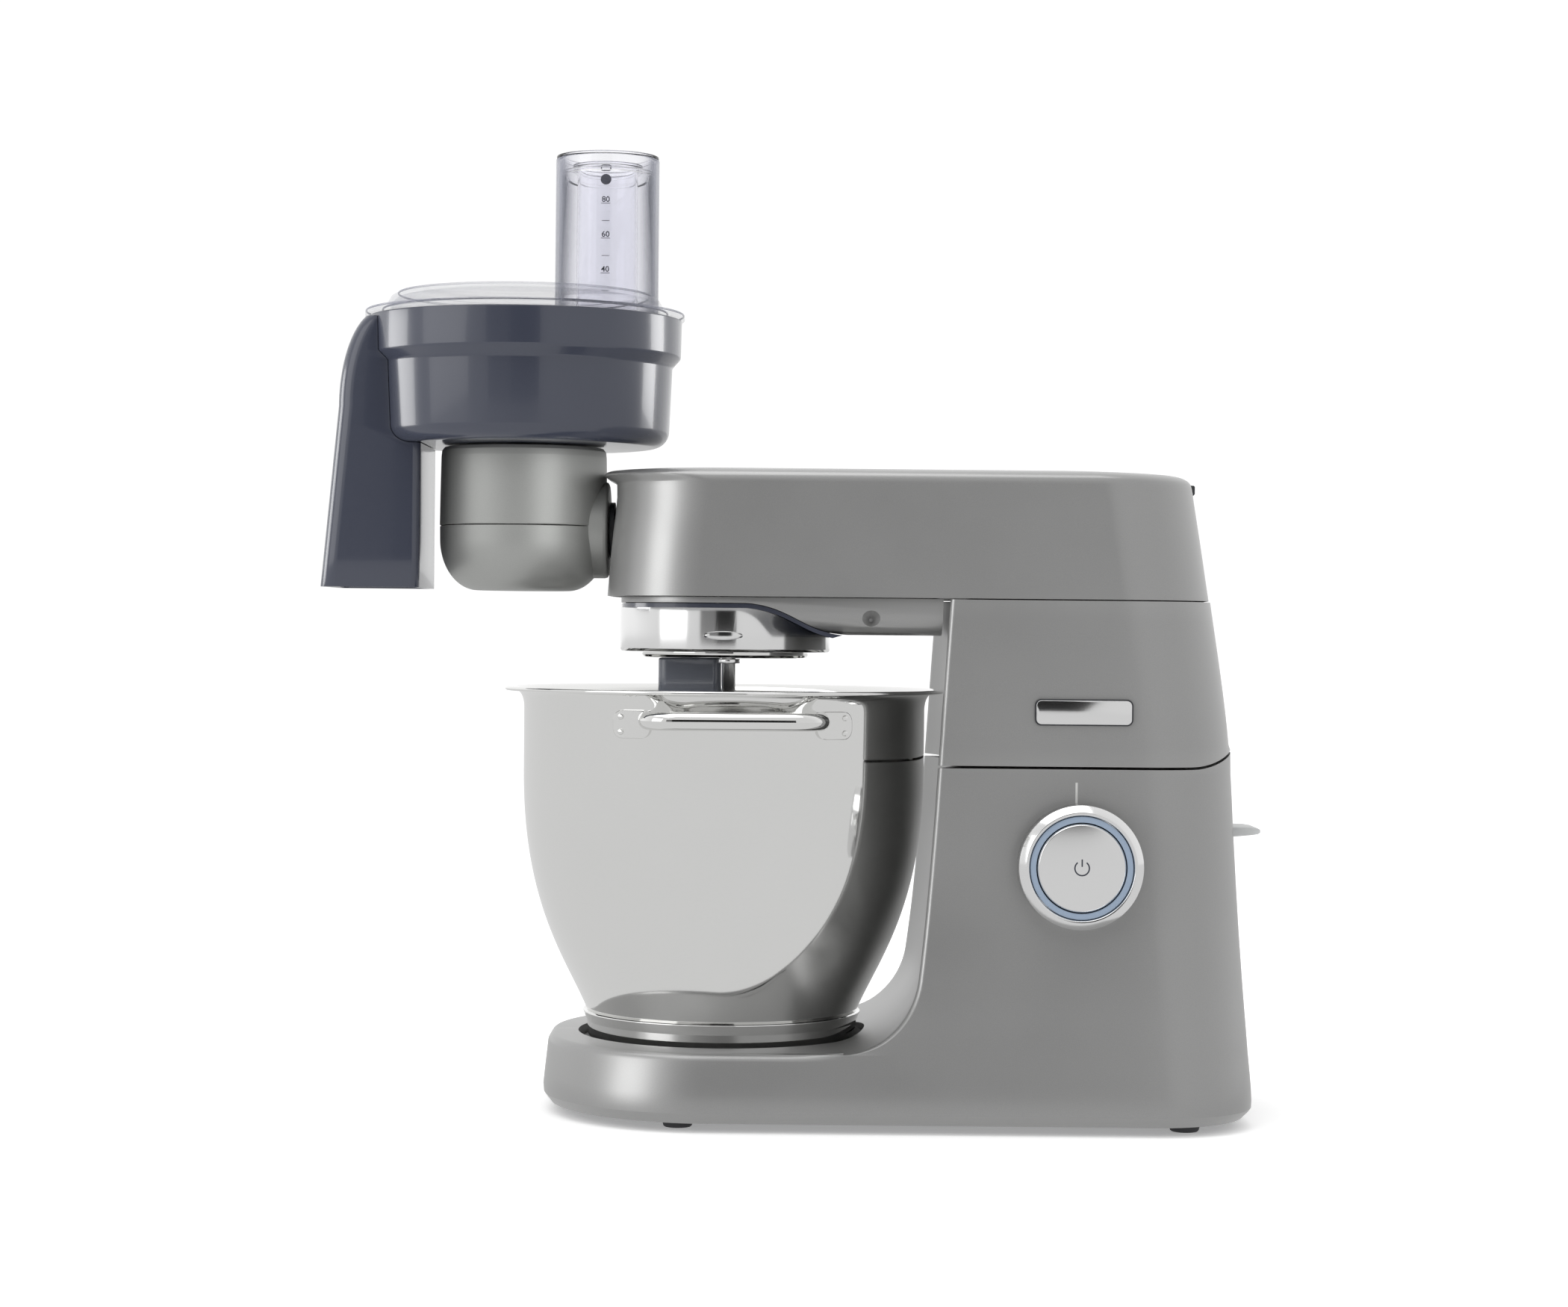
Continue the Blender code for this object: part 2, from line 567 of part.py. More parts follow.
def belt_outline(grow):
    """The belt's path round both pulleys, grown outwards."""
    big, small = LARGE_PULLEY + grow, SMALL_PULLEY + grow
    lean = 90 - asin((big - small) / (MOTOR_X - LAYSHAFT_X)) * 180 / pi
    return arc((LAYSHAFT_X, 0), big, lean, 360 - lean, 14) + arc((MOTOR_X, 0), small, -lean, lean, 7)


def drive_train():
    belt = cut(prism_z(belt_outline(0.0020), BELT_Z[0] + 0.001, BELT_Z[1] - 0.001),
               prism_z(belt_outline(GAP), BELT_Z[0] - 0.001, BELT_Z[1] + 0.001))
    add("drive_belt", belt, "head", RUBBER)
    low, high = BELT_Z
    profile = [(0, 0.2940), (0.0040, 0.2940), (0.0040, low), (LARGE_PULLEY, low), (LARGE_PULLEY, high), (0, high)]
    shaft = turned(profile, (LAYSHAFT_X, 0, 0), steps=28)
    pinion = spur(PINION_TEETH, PINION_PITCH, pi + pi / PINION_TEETH, 0.3005, 0.3075, (LAYSHAFT_X, 0))
    add("layshaft", join(shaft, pinion), "layshaft", GEAR)
    gear = spur(DRIVE_TEETH, DRIVE_PITCH, 0.0, 0.3005, 0.3075, (BOWL_X, 0))
    add("drive_gear", cut(gear, rod(0.0064, 0.29, 0.31, (BOWL_X, 0, 0))), "hub", GEAR)


def planetary():
    centre = (BOWL_X, 0, 0)
    section = [(0.0585, 0.2665), (0.0605, 0.2655), (HUB_RADIUS, 0.2670), (HUB_RADIUS, 0.2925), (0.0585, 0.2925)]
    band = turned(section, centre, steps=28)
    slot = arc((BOWL_X, 0.2750), 0.0115, 0, 360, 16, stretch=0.22)[:-1]
    add("hub_band", cut(band, prism_y(slot, -0.08, -0.04)), "head", CHROME)
    teeth = tooth_outline(RING_TEETH, RING_PITCH, PLANET_ANGLE, inward=True)
    bore = prism_z([(BOWL_X + x, y) for x, y in teeth], 0.27, 0.29)
    add("ring_gear", cut(rod(0.0580, 0.2735, 0.2815, centre, steps=28), bore), "head", GEAR)
    carrier = turned([(0, 0.2620), (0.0470, 0.2620), (PLATE_RADIUS, 0.2636), (PLATE_RADIUS, 0.2685), (0.0060, 0.2685),
                      (0.0060, 0.3176), (0, 0.3176)], centre, steps=28)
    add("planet_carrier", cut(carrier, rod(TOOL_RADIUS + GAP, 0.25, 0.28, (TOOL_X, TOOL_Y, 0))), "hub", STEEL)
    block = rounded(rectangle(-0.0780, -0.0412, -0.0190, 0.0190), 0.0050, 4)
    add("carrier_block", prism_z(block, 0.2370, 0.2616), "hub", SLATE)
    shaft = turned([(0, 0.2365), (TOOL_RADIUS, 0.2365), (TOOL_RADIUS, 0.2590), (0.0065, 0.2590), (0.0065, 0.2615),
                    (TOOL_RADIUS, 0.2615), (TOOL_RADIUS, 0.2835), (0, 0.2835)], (TOOL_X, TOOL_Y, 0), steps=14)
    add("tool_shaft", shaft, "tool", CHROME)
    phase = PLANET_ANGLE + pi / PLANET_TEETH
    planet = spur(PLANET_TEETH, PLANET_PITCH, phase, 0.2740, 0.2810, (TOOL_X, TOOL_Y))
    planet = cut(planet, rod(TOOL_RADIUS + GAP, 0.27, 0.29, (TOOL_X, TOOL_Y, 0)))
    add("planet_gear", planet, "tool", GEAR)


def outlet_drive():
    """Mitre gears from the hub's shaft to the low-speed outlet."""
    apex = (BOWL_X, 0, OUTLET_Z)
    upright = bevel_gear(MITRE_TEETH, MITRE_PITCH, pi, apex, Matrix())
    add("outlet_drive_gear", upright, "hub", GEAR)
    lying = Matrix.Rotation(pi / 2, 4, "Y")
    follower = bevel_gear(MITRE_TEETH, MITRE_PITCH, pi / MITRE_TEETH, apex, lying)
    shaft = rod(0.0055, -0.0950, BOWL_X - MITRE_PITCH + 0.002, (0, 0, OUTLET_Z), "X", 16)
    add("outlet_shaft", join(follower, shaft), "outlet", GEAR)
    add("outlet_socket", ring(0.0131, 0.0196, -0.1030, -0.0800, (0, 0, OUTLET_Z), "X", 16), "head", DARK)


# ---------------------------------------------------------------- bowl
def bowl_wall(inset):
    """Half of the bowl's section, bottom centre to rim, moved inwards by an inset."""
    low = 0.0540
    curve = bezier((0.0790, low + 0.0020), (0.0900, 0.0830), (0.1170, 0.1150), (0.1172, 0.1950), 6)
    points = [(0.0, low), (0.0730, low)] + curve + [(0.1174, 0.2390)]
    if not inset:
        return points + [(0.1190, 0.2420), (0.1285, BOWL_RIM_Z - 0.0006)]
    inner = [(max(0.0, r - inset), z + inset * (1.0 if r < 0.08 else 0.55)) for r, z in points[:-1]]
    return inner + [(0.1174 - inset, 0.2395), (0.1186, 0.2436), (0.1283, BOWL_RIM_Z)]


def bowl():
    profile = bowl_wall(0.0) + bowl_wall(0.0012)[::-1]
    add("mixing_bowl", turned(profile, (BOWL_X, 0, 0), steps=28), "bowl", STEEL)
    foot = turned([(0.0745, BOWL_SEAT_Z), (0.0777, BOWL_SEAT_Z), (0.0790, 0.0500), (0.0812, 0.0558), (0.0785, 0.0545),
                   (0.0745, 0.0534)], (BOWL_X, 0, 0), steps=28)
    tabs = [sector(0.0620, 0.0760, 0.0407, 0.0440, 120 * i + 14, 120 * i + 35) for i in range(3)]
    add("bowl_foot", join(foot, *tabs), "bowl", STEEL)


def handle(name, turn):
    """A bent bar standing off the bowl's wall between two flat end plates."""
    half, out, bend, bar = 0.0570, 0.1312, 0.0150, 0.00525
    path = [(half, 0.1060)] + arc((half - bend, out - bend), bend, 0, 90, 4)
    path = path + [(-u, v) for u, v in reversed(path)]
    rings = []
    for i, (u, v) in enumerate(path):
        after, before = path[min(i + 1, len(path) - 1)], path[max(i - 1, 0)]
        along = Vector((after[0] - before[0], after[1] - before[1])).normalized()
        across = Vector((-along.y, along.x))
        rings.append([(u + bar * cos(a) * across.x, v + bar * cos(a) * across.y, HANDLE_Z + bar * sin(a))
                      for a in (2 * pi * k / 8 for k in range(8))])
    tube = solid(rings)
    parts = []
    for side in (-1, 1):
        angle = side * asin(half / 0.1190)
        plate = rounded(rectangle(-0.0090, 0.0090, -0.0085, 0.0085), 0.0040, 3)
        pad = solid([[(x, y, z) for x, z in plate] for y in (0.1180, 0.1200)])
        rivets = [rod(0.0016, 0.1190, 0.1210, (0.0066 * side, 0, 0.0050 * k), "Y", 8) for k in (-1, 1)]
        for piece in [pad, *rivets]:
            piece.transform(Matrix.Translation((0, 0, HANDLE_Z)) @ Matrix.Rotation(-angle, 4, "Z"))
        parts += [pad, *rivets]
    keep_out = rod(0.1178, 0.2, 0.26, (0, 0, 0), steps=28)
    bar_and_plates = cut(join(tube, *parts), keep_out)
    bar_and_plates.transform(Matrix.Translation((BOWL_X, 0, 0)) @ Matrix.Rotation(turn + BOWL_TURN, 4, "Z"))
    add(name, bar_and_plates, "bowl", STEEL)


# ---------------------------------------------------------------- slicer
def gear_housing():
    """Right-angle gearbox in two halves, with a boss towards the mixer."""
    centre = (DISH_X, 0, 0)
    seam = 0.3378
    upper = turned([(0.0460, seam), (0.0490, seam), (0.0484, 0.3790), (0.0470, 0.3835), (0.0085, 0.3835),
                    (0.0085, 0.3805), (0.0454, 0.3805)], centre, steps=28)
    swell = arc((0.0265, 0.3300), 0.0223, 0, -90, 5, stretch=1.345)
    inside = arc((0.0265, 0.3300), 0.0193, -90, 0, 5, stretch=1.40)
    lower = turned([(0.0488, seam - GAP)] + swell + [(0, swell[-1][1]), (0, inside[0][1])] + inside +
                   [(0.0458, seam - GAP)], centre, steps=28)
    for name, half in (("gear_housing_upper", upper), ("gear_housing_lower", lower)):
        gate = rod(0.0287, -0.1400, -0.1000, (0, 0, OUTLET_Z), "X", 24)
        add(name, cut(half, gate), "head", TITANIUM)
    boss = turned([(0.0283, -0.1380), (0.0283, -0.1085), (0.0275, -0.1080), (0.0075, -0.1080), (0.0075, -0.1110),
                   (0.0253, -0.1110), (0.0253, -0.1380)], (0, 0, OUTLET_Z), "X", 24)
    add("drive_boss", boss, "head", TITANIUM)
    add("lock_ring", ring(0.0130, 0.0163, -0.1076, -0.1046, (0, 0, OUTLET_Z), "X", 16), "head", DARK)
    add("drive_tail", ring(0.0068, 0.0126, -0.1076, -0.0900, (0, 0, OUTLET_Z), "X", 16), "head", CHROME)


def slicer_drive():
    apex = (DISH_X, 0, OUTLET_Z)
    lying = Matrix.Rotation(-pi / 2, 4, "Y")
    gear = bevel_gear(SLICER_TEETH, SLICER_PITCH, 0.0, apex, lying)
    shaft = rod(0.0050, DISH_X + SLICER_PITCH - 0.002, -0.0954, (0, 0, OUTLET_Z), "X", 16)
    add("slicer_input_shaft", join(gear, shaft), "input", GEAR)
    upside_down = Matrix.Rotation(pi, 4, "X")
    follower = bevel_gear(SLICER_TEETH, SLICER_PITCH, pi / SLICER_TEETH, apex, upside_down)
    spindle = rod(0.0050, OUTLET_Z + SLICER_PITCH - 0.002, 0.4400, (DISH_X, 0, 0), steps=6)
    add("slicer_spindle", join(follower, spindle), "disc", GEAR)
    hub = turned([(0.0062, 0.3960), (0.0110, 0.3960), (0.0110, 0.4496), (0, 0.4496), (0, 0.4405), (0.0062, 0.4405)],
                 (DISH_X, 0, 0), steps=24)
    add("disc_hub", hub, "disc", SLATE)
    plate = rod(0.0840, 0.4500, 0.4515, (DISH_X, 0, 0), steps=28)
    slot = rounded(rectangle(DISH_X - 0.0730, DISH_X - 0.0180, -0.0030, 0.0030), 0.0028, 3)
    add("slicing_disc", cut(plate, prism_z(slot, 0.44, 0.46)), "disc", STEEL)
    edge = [(0.0034, 0.4519), (0.0110, 0.4519), (0.0110, 0.4524), (0.0034, 0.4535)]
    blade = solid([[(x, y, z) for y, z in edge] for x in (DISH_X - 0.0730, DISH_X - 0.0180)])
    add("slicing_blade", blade, "disc", STEEL)


def dish_outside(grow):
    """The dish's outer section from its bottom edge to its rim."""
    foot = arc((DISH_LOWER_RADIUS - 0.0115, DISH_LOW + 0.0100), 0.0100 + grow, -90, -5, 5)
    step = [(DISH_LOWER_RADIUS + grow, DISH_STEP - 0.0050), (DISH_UPPER_RADIUS - 0.0005 + grow, DISH_STEP)]
    return foot + step + [(DISH_UPPER_RADIUS + grow, DISH_TOP)]


def chute_section(inset, z):
    """The chute's rounded rectangle at a height; its outer wall curves in to the rim."""
    knee = 0.4050
    left = CHUTE_LEFT + 0.0096 * (min(z, knee) - CHUTE_LOW) / (knee - CHUTE_LOW)
    if z > knee:
        left += 0.0240 * (1 - sqrt(max(0.0, 1 - ((z - knee) / 0.0560) ** 2)))
    corners = rectangle(left + inset, CHUTE_RIGHT - inset, inset - CHUTE_HALF, CHUTE_HALF - inset)
    return rounded(corners, [0.0100 - inset, 0.0050 - inset, 0.0050 - inset, 0.0100 - inset], 4)


def dish_and_chute():
    centre = (DISH_X, 0, 0)
    outside = dish_outside(0.0)
    inside = [(r, z + (PLASTIC if z < DISH_LOW + 0.002 else 0)) for r, z in dish_outside(-PLASTIC)]
    inside[0] = (inside[0][0], DISH_LOW + PLASTIC)
    profile = [(0.0085, DISH_LOW)] + outside + inside[::-1] + [(0.0085, DISH_LOW + PLASTIC)]
    window = box(-0.27, -0.225, -0.0350, 0.0350, 0.3960, 0.4460)
    add("slicer_dish", cut(turned(profile, centre, steps=28), window), "head", SLATE)
    levels = [CHUTE_LOW, 0.3800, 0.4050, 0.4200, 0.4330, 0.4430, 0.4510, 0.4570]
    outer = solid([[(x, y, z) for x, y in chute_section(0.0, z)] for z in levels])
    hollow = [CHUTE_LOW - 0.01] + levels[1:-1] + [0.4545]
    inner = solid([[(x, y, z) for x, y in chute_section(PLASTIC, z)] for z in hollow])
    dish_zone = turned([(0, DISH_LOW - GAP)] + dish_outside(GAP) + [(0, DISH_TOP)], centre, steps=28)
    add("discharge_chute", cut(outer, inner, dish_zone), "head", SLATE)


def lid_and_pushers():
    centre = (DISH_X, 0, 0)
    low = DISH_TOP + GAP
    dome = [(0.0937, low), (0.0937, low + 0.0022), (0.0830, low + 0.0030), (0.0805, 0.4690), (0.0760, 0.4725),
            (0.0690, 0.4740), (0, 0.4740), (0, 0.4716), (0.0685, 0.4716), (0.0745, 0.4703), (0.0780, 0.4675),
            (0.0800, low + 0.0010), (0.0800, low)]
    tube_hole = rod(TUBE_RADIUS + GAP, 0.45, 0.48, (TUBE_X, 0, 0), steps=28)
    add("slicer_lid", cut(turned(dome, centre, steps=28), tube_hole), "lid", CLEAR)
    tube = (TUBE_X, 0, 0)
    add("feed_tube", ring(TUBE_RADIUS - 0.0020, TUBE_RADIUS, 0.4560, TUBE_TOP, tube, steps=28), "lid", CLEAR)
    bottom, top = 0.4580, TUBE_TOP + GAP
    pusher = [(0.0186, bottom), (0.0270, bottom), (0.0270, top), (0.0300, top), (0.0300, top + 0.0016),
              (0.0255, top + 0.0016), (0.0255, bottom + 0.0015), (0.0200, bottom + 0.0015),
              (0.0200, 0.5480), (0.0186, 0.5480)]
    add("pusher", turned(pusher, tube, steps=28), "pusher", CLEAR)
    small = [(0, bottom), (0.0180, bottom), (0.0180, 0.5484), (0.0205, 0.5484), (0.0205, 0.5500),
             (0.0168, 0.5500), (0.0168, bottom + 0.0015), (0, bottom + 0.0015)]
    add("small_pusher", turned(small, tube, steps=24), "small_pusher", CLEAR)


# ---------------------------------------------------------------- assembly
def main():
    for obj in list(bpy.data.objects):
        bpy.data.objects.remove(obj)
    make_bodies()
    base_housing()
    base_plate_and_feet()
    bowl_seat()
    hinge()
    controls()
    lift_lever()
    middle_section()
    head_shell()
    underside()
    chassis()
    motor()
    drive_train()
    planetary()
    outlet_drive()
    bowl()
    handle("bowl_handle_near", pi)
    handle("bowl_handle_far", 0.0)
    gear_housing()
    slicer_drive()
    dish_and_chute()
    lid_and_pushers()


main()
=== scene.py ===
from math import acos, asin, atan2, cos, pi, radians, sin, sqrt

import bmesh
import bpy
from bpy.props import FloatProperty, FloatVectorProperty, IntProperty, PointerProperty
from bpy.types import Operator, Panel, PropertyGroup
from mathutils import Matrix, Vector


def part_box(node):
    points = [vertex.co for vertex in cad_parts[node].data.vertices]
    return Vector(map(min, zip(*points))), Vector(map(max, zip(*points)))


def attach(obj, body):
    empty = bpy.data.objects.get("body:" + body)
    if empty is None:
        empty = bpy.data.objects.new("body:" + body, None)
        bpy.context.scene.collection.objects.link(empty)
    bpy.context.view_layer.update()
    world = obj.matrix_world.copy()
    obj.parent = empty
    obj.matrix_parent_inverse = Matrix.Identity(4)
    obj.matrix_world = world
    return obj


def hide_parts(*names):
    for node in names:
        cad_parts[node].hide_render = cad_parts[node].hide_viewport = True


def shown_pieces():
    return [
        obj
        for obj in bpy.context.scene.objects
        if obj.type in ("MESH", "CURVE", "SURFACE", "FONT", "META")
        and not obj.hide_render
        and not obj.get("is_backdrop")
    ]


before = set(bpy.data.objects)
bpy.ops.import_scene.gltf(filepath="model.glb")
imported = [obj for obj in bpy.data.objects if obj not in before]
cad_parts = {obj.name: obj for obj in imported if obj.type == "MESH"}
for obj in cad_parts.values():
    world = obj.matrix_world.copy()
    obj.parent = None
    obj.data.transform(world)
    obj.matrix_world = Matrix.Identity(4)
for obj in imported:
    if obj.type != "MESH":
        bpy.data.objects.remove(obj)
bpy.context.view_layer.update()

bl_info = {
    "name": "Tilt-head mixer with rotary slicer",
    "version": (1, 0, 0),
    "blender": (4, 5, 0),
    "location": "View3D > Sidebar > Mixer",
    "description": "Models the finished outside of a stand mixer and the slicer on its front outlet",
    "category": "Add Mesh",
}

# ---------------------------------------------------------------- measures shared with the frame, in metres
TONGUE_FRONT, TONGUE_TOP, TONGUE_RADIUS, REAR_RADIUS = -0.1425, 0.0435, 0.0950, 0.0550
SHOULDER_X = 0.0270                   # where the column's fillet leaves the tongue
PIVOT_X, PIVOT_Z = 0.2250, 0.2500
DECK_Z, MID_LOW, MID_TOP, HEAD_LOW = 0.2020, 0.2035, 0.2965, 0.2972
BOWL_X, BOWL_FLOOR, BOWL_TURN = -0.0395, 0.0540, radians(3.8)
BOWL_WALL, RIM_START, RIM_RADIUS = 0.1173, 0.2325, 0.1262
HANDLE_Z, HANDLE_PLATE_RADIUS = 0.2280, 0.1190
HUB_RADIUS, LENS_Z, OUTLET_Z = 0.0615, 0.2750, 0.3360
KNOB = Vector((0.1610, 0.0, 0.1484))
DISH_X, DISH_LOW, DISH_STEP, DISH_TOP = -0.1585, 0.3845, 0.4370, 0.4590
DISH_LOWER_RADIUS, DISH_UPPER_RADIUS = 0.0865, 0.0919
CHUTE_LEFT, CHUTE_RIGHT, CHUTE_HALF, CHUTE_LOW = -0.2726, -0.2150, 0.0430, 0.3010
TUBE_X, TUBE_RADIUS, TUBE_TOP = -0.1110, 0.0304, 0.5530
CARD_Y, CARD_LOW, CARD_HIGH = -2.30, 0.19, 1.30
CAMERA_PLACE, CAMERA_ROLL, CAMERA_SHIFT = (-0.005, -1.85, 0.280), radians(-0.55), -0.0167

# Height, half width and rear edge of the base and column.
BODY_LEVELS = [
    (0.005, 0.1085, 0.2585), (0.012, 0.1130, 0.2630), (0.044, 0.1075, 0.2612), (0.080, 0.0990, 0.2592),
    (0.120, 0.0925, 0.2570), (0.160, 0.0900, 0.2548), (0.210, 0.0885, 0.2520), (0.310, 0.0870, 0.2385),
]
# Height, half width, front edge and rear edge of the head.
HEAD_LEVELS = [
    (0.2972, 0.0870, -0.1070, 0.2395), (0.3300, 0.0862, -0.1045, 0.2345), (0.3550, 0.0855, -0.1020, 0.2305),
    (0.3615, 0.0852, -0.1022, 0.2295), (0.3645, 0.0847, -0.1062, 0.2285), (0.3665, 0.0835, -0.1095, 0.2265),
    (0.3685, 0.0795, -0.1080, 0.2220), (0.3702, 0.0650, -0.0960, 0.2050), (0.3710, 0.0450, -0.0760, 0.1800),
]


# ---------------------------------------------------------------- settings
def metres(name, description, value):
    return FloatProperty(name=name, description=description, default=value, unit="LENGTH")


def tint(name, description, value):
    return FloatVectorProperty(name=name, description=description, default=value, subtype="COLOR")


def strength(name, description, value):
    return FloatProperty(name=name, description=description, default=value, subtype="FACTOR", soft_max=2.0)


def watts(name, description, value):
    return FloatProperty(name=name, description=description, default=value, unit="POWER")


class MixerSizes(PropertyGroup):
    turning_steps: IntProperty(name="Turning steps", description="Faces round a turned piece", default=144, min=24)
    wall: metres("Cast wall", "Wall of the mixer's castings", 0.003)
    moulded_wall: metres("Moulded wall", "Wall of the slicer's mouldings", 0.0025)
    tongue_edge: metres("Tongue edge", "Rounding of the tongue's top edge", 0.004)
    crease: metres("Crease", "Rounding where the column's front meets its sides", 0.003)
    edge: metres("Edge softness", "Rounding of small edges", 0.0006)


class MixerColours(PropertyGroup):
    paint: tint("Paint", "Silver paint", (0.310, 0.310, 0.308))
    titanium: tint("Titanium", "Gearbox paint", (0.34, 0.345, 0.335))
    slate: tint("Slate", "Slicer's moulded plastic", (0.040, 0.045, 0.066))
    steel: tint("Steel", "Polished steel", (0.78, 0.78, 0.77))
    chrome: tint("Chrome", "Plated trim", (0.80, 0.80, 0.80))
    clear: tint("Clear plastic", "Lid and tube", (0.27, 0.28, 0.34))
    light: tint("Light ring", "Ring round the button", (0.26, 0.33, 0.43))


class MixerStage(PropertyGroup):
    floor_glow: strength("Floor glow", "Light given off by the pale floor", 0.30)
    floor_in_mirrors: strength("Floor in mirrors", "Brightness of the floor in the steel", 0.74)
    backdrop: strength("Backdrop", "Brightness behind the mixer", 1.05)
    room: strength("Room", "Brightness in front of the mixer", 0.78)
    key_power: watts("Key light", "Power of the overhead softbox", 14.0)
    fill_power: watts("Fill light", "Power of the left softbox", 7.0)
    band_power: watts("Side bands", "Power of the side lights on paint and plastic", 9.0)
    focal_length: FloatProperty(name="Focal length", description="Camera lens", default=72.3, unit="CAMERA")


def sizes():
    return bpy.context.scene.mixer_sizes


def colours():
    return bpy.context.scene.mixer_colours


# ---------------------------------------------------------------- curves and outlines
def arc(centre, radius, start, end, steps, stretch=1.0):
    """Points on an arc in a plane, angles in degrees; stretch scales its height."""
    angles = [radians(start + (end - start) * i / steps) for i in range(steps + 1)]
    return [(centre[0] + radius * cos(a), centre[1] + stretch * radius * sin(a)) for a in angles]


def bezier(p0, p1, p2, p3, steps):
    """Points on a cubic curve."""
    points = []
    for i in range(steps + 1):
        t = i / steps
        weights = ((1 - t) ** 3, 3 * t * (1 - t) ** 2, 3 * t * t * (1 - t), t ** 3)
        points.append(tuple(sum(w * p[k] for w, p in zip(weights, (p0, p1, p2, p3))) for k in (0, 1)))
    return points


def corner_arc(back_point, corner, next_point, radius, steps):
    """The arc that rounds one corner, no larger than its neighbours leave room for."""
    here = Vector(corner)
    back, ahead = Vector(back_point) - here, Vector(next_point) - here
    room = min(back.length, ahead.length) * 0.49
    back.normalize()
    ahead.normalize()
    half = acos(max(-1.0, min(1.0, back.dot(ahead)))) / 2
    if radius <= 0 or half > 1.56 or half < 0.02:
        return [tuple(here)]
    reach = min(radius / (sin(half) / cos(half)), room)
    radius = reach * sin(half) / cos(half)
    centre = here + (back + ahead).normalized() * (radius / sin(half))
    first, last = here + back * reach - centre, here + ahead * reach - centre
    sweep = atan2(first.x * last.y - first.y * last.x, first.dot(last))
    return [tuple(centre + Matrix.Rotation(sweep * k / steps, 2) @ first) for k in range(steps + 1)]


def rounded(corners, radii, steps=8):
    """A closed outline with each corner replaced by an arc."""
    radii = radii if isinstance(radii, (list, tuple)) else [radii] * len(corners)
    outline = []
    for i, corner in enumerate(corners):
        outline += corner_arc(corners[i - 1], corner, corners[(i + 1) % len(corners)], radii[i], steps)
    return outline


def eased(path, radius, steps=4):
    """An open path with its inner corners rounded."""
    points = [path[0]]
    for before, corner, after in zip(path, path[1:], path[2:]):
        points += corner_arc(before, corner, after, radius, steps)
    return points + [path[-1]]


def rectangle(x0, x1, y0, y1):
    return [(x0, y0), (x1, y0), (x1, y1), (x0, y1)]


def between(a, b, count):
    """Evenly spaced points from a up to, and without, b."""
    return [tuple(Vector(a).lerp(Vector(b), i / count)) for i in range(count)]


def at_level(levels, z):
    """The measures at a height, on a smooth curve through the levels that never overshoots."""
    z = max(levels[0][0], min(levels[-1][0], z))
    i = max(k for k in range(len(levels) - 1) if levels[k][0] <= z)
    gap = levels[i + 1][0] - levels[i][0]
    t = (z - levels[i][0]) / gap
    measures = []
    for k in range(1, len(levels[0])):
        rises = [(b[k] - a[k]) / (b[0] - a[0]) for a, b in zip(levels, levels[1:])]

        def slope(n):
            if n in (0, len(rises)):
                return rises[min(n, len(rises) - 1)]
            return 0.0 if rises[n - 1] * rises[n] <= 0 else 2 / (1 / rises[n - 1] + 1 / rises[n])

        a, b = levels[i][k], levels[i + 1][k]
        measures.append((2 * t ** 3 - 3 * t * t + 1) * a + (t ** 3 - 2 * t * t + t) * gap * slope(i)
                        + (3 * t * t - 2 * t ** 3) * b + (t ** 3 - t * t) * gap * slope(i + 1))
    return measures


# ---------------------------------------------------------------- modelling
def activate(piece):
    """Leaves edit mode and makes one piece the only selected and active one."""
    if bpy.context.object and bpy.context.object.mode != "OBJECT":
        bpy.ops.object.mode_set(mode="OBJECT")
    bpy.ops.object.select_all(action="DESELECT")
    if piece:
        piece.select_set(True)
        bpy.context.view_layer.objects.active = piece


def close_skin(piece):
    """Merges doubled points, turns every face outwards and leaves edit mode."""
    bpy.ops.mesh.select_all(action="SELECT")
    bpy.ops.mesh.remove_doubles(threshold=0.000002)
    bpy.ops.mesh.dissolve_degenerate(threshold=0.000002)
    bpy.ops.mesh.select_all(action="SELECT")
    bpy.ops.mesh.normals_make_consistent(inside=False)
    activate(piece)
    return piece


def turned(name, profile, centre, axis="Z", steps=None, angle=2 * pi):
    """A profile of (radius, height), drawn by extruding one point along it and spun about an axis."""
    centre = Vector(centre)
    directions = {"Z": (Vector((1, 0, 0)), Vector((0, 0, 1))), "X": (Vector((0, 0, 1)), Vector((1, 0, 0))),
                  "Y": (Vector((1, 0, 0)), Vector((0, 1, 0)))}
    outwards, along = directions[axis]
    if profile[0][0] > 0 or profile[-1][0] > 0:
        profile = list(profile) + [profile[0]]
    points = [centre + outwards * r + along * h for r, h in profile]
    activate(None)
    bpy.ops.mesh.primitive_plane_add(size=0.002, location=points[0])
    piece = bpy.context.object
    piece.name = name
    bpy.ops.object.transform_apply(location=True, rotation=True, scale=True)
    bpy.ops.object.mode_set(mode="EDIT")
    bpy.ops.mesh.merge(type="CENTER")
    for here, there in zip(points, points[1:]):
        bpy.ops.mesh.extrude_region_move(TRANSFORM_OT_translate={"value": there - here})
    bpy.ops.mesh.select_all(action="SELECT")
    bpy.ops.mesh.spin(steps=steps or sizes().turning_steps, angle=angle, center=centre, axis=along)
    return close_skin(piece)


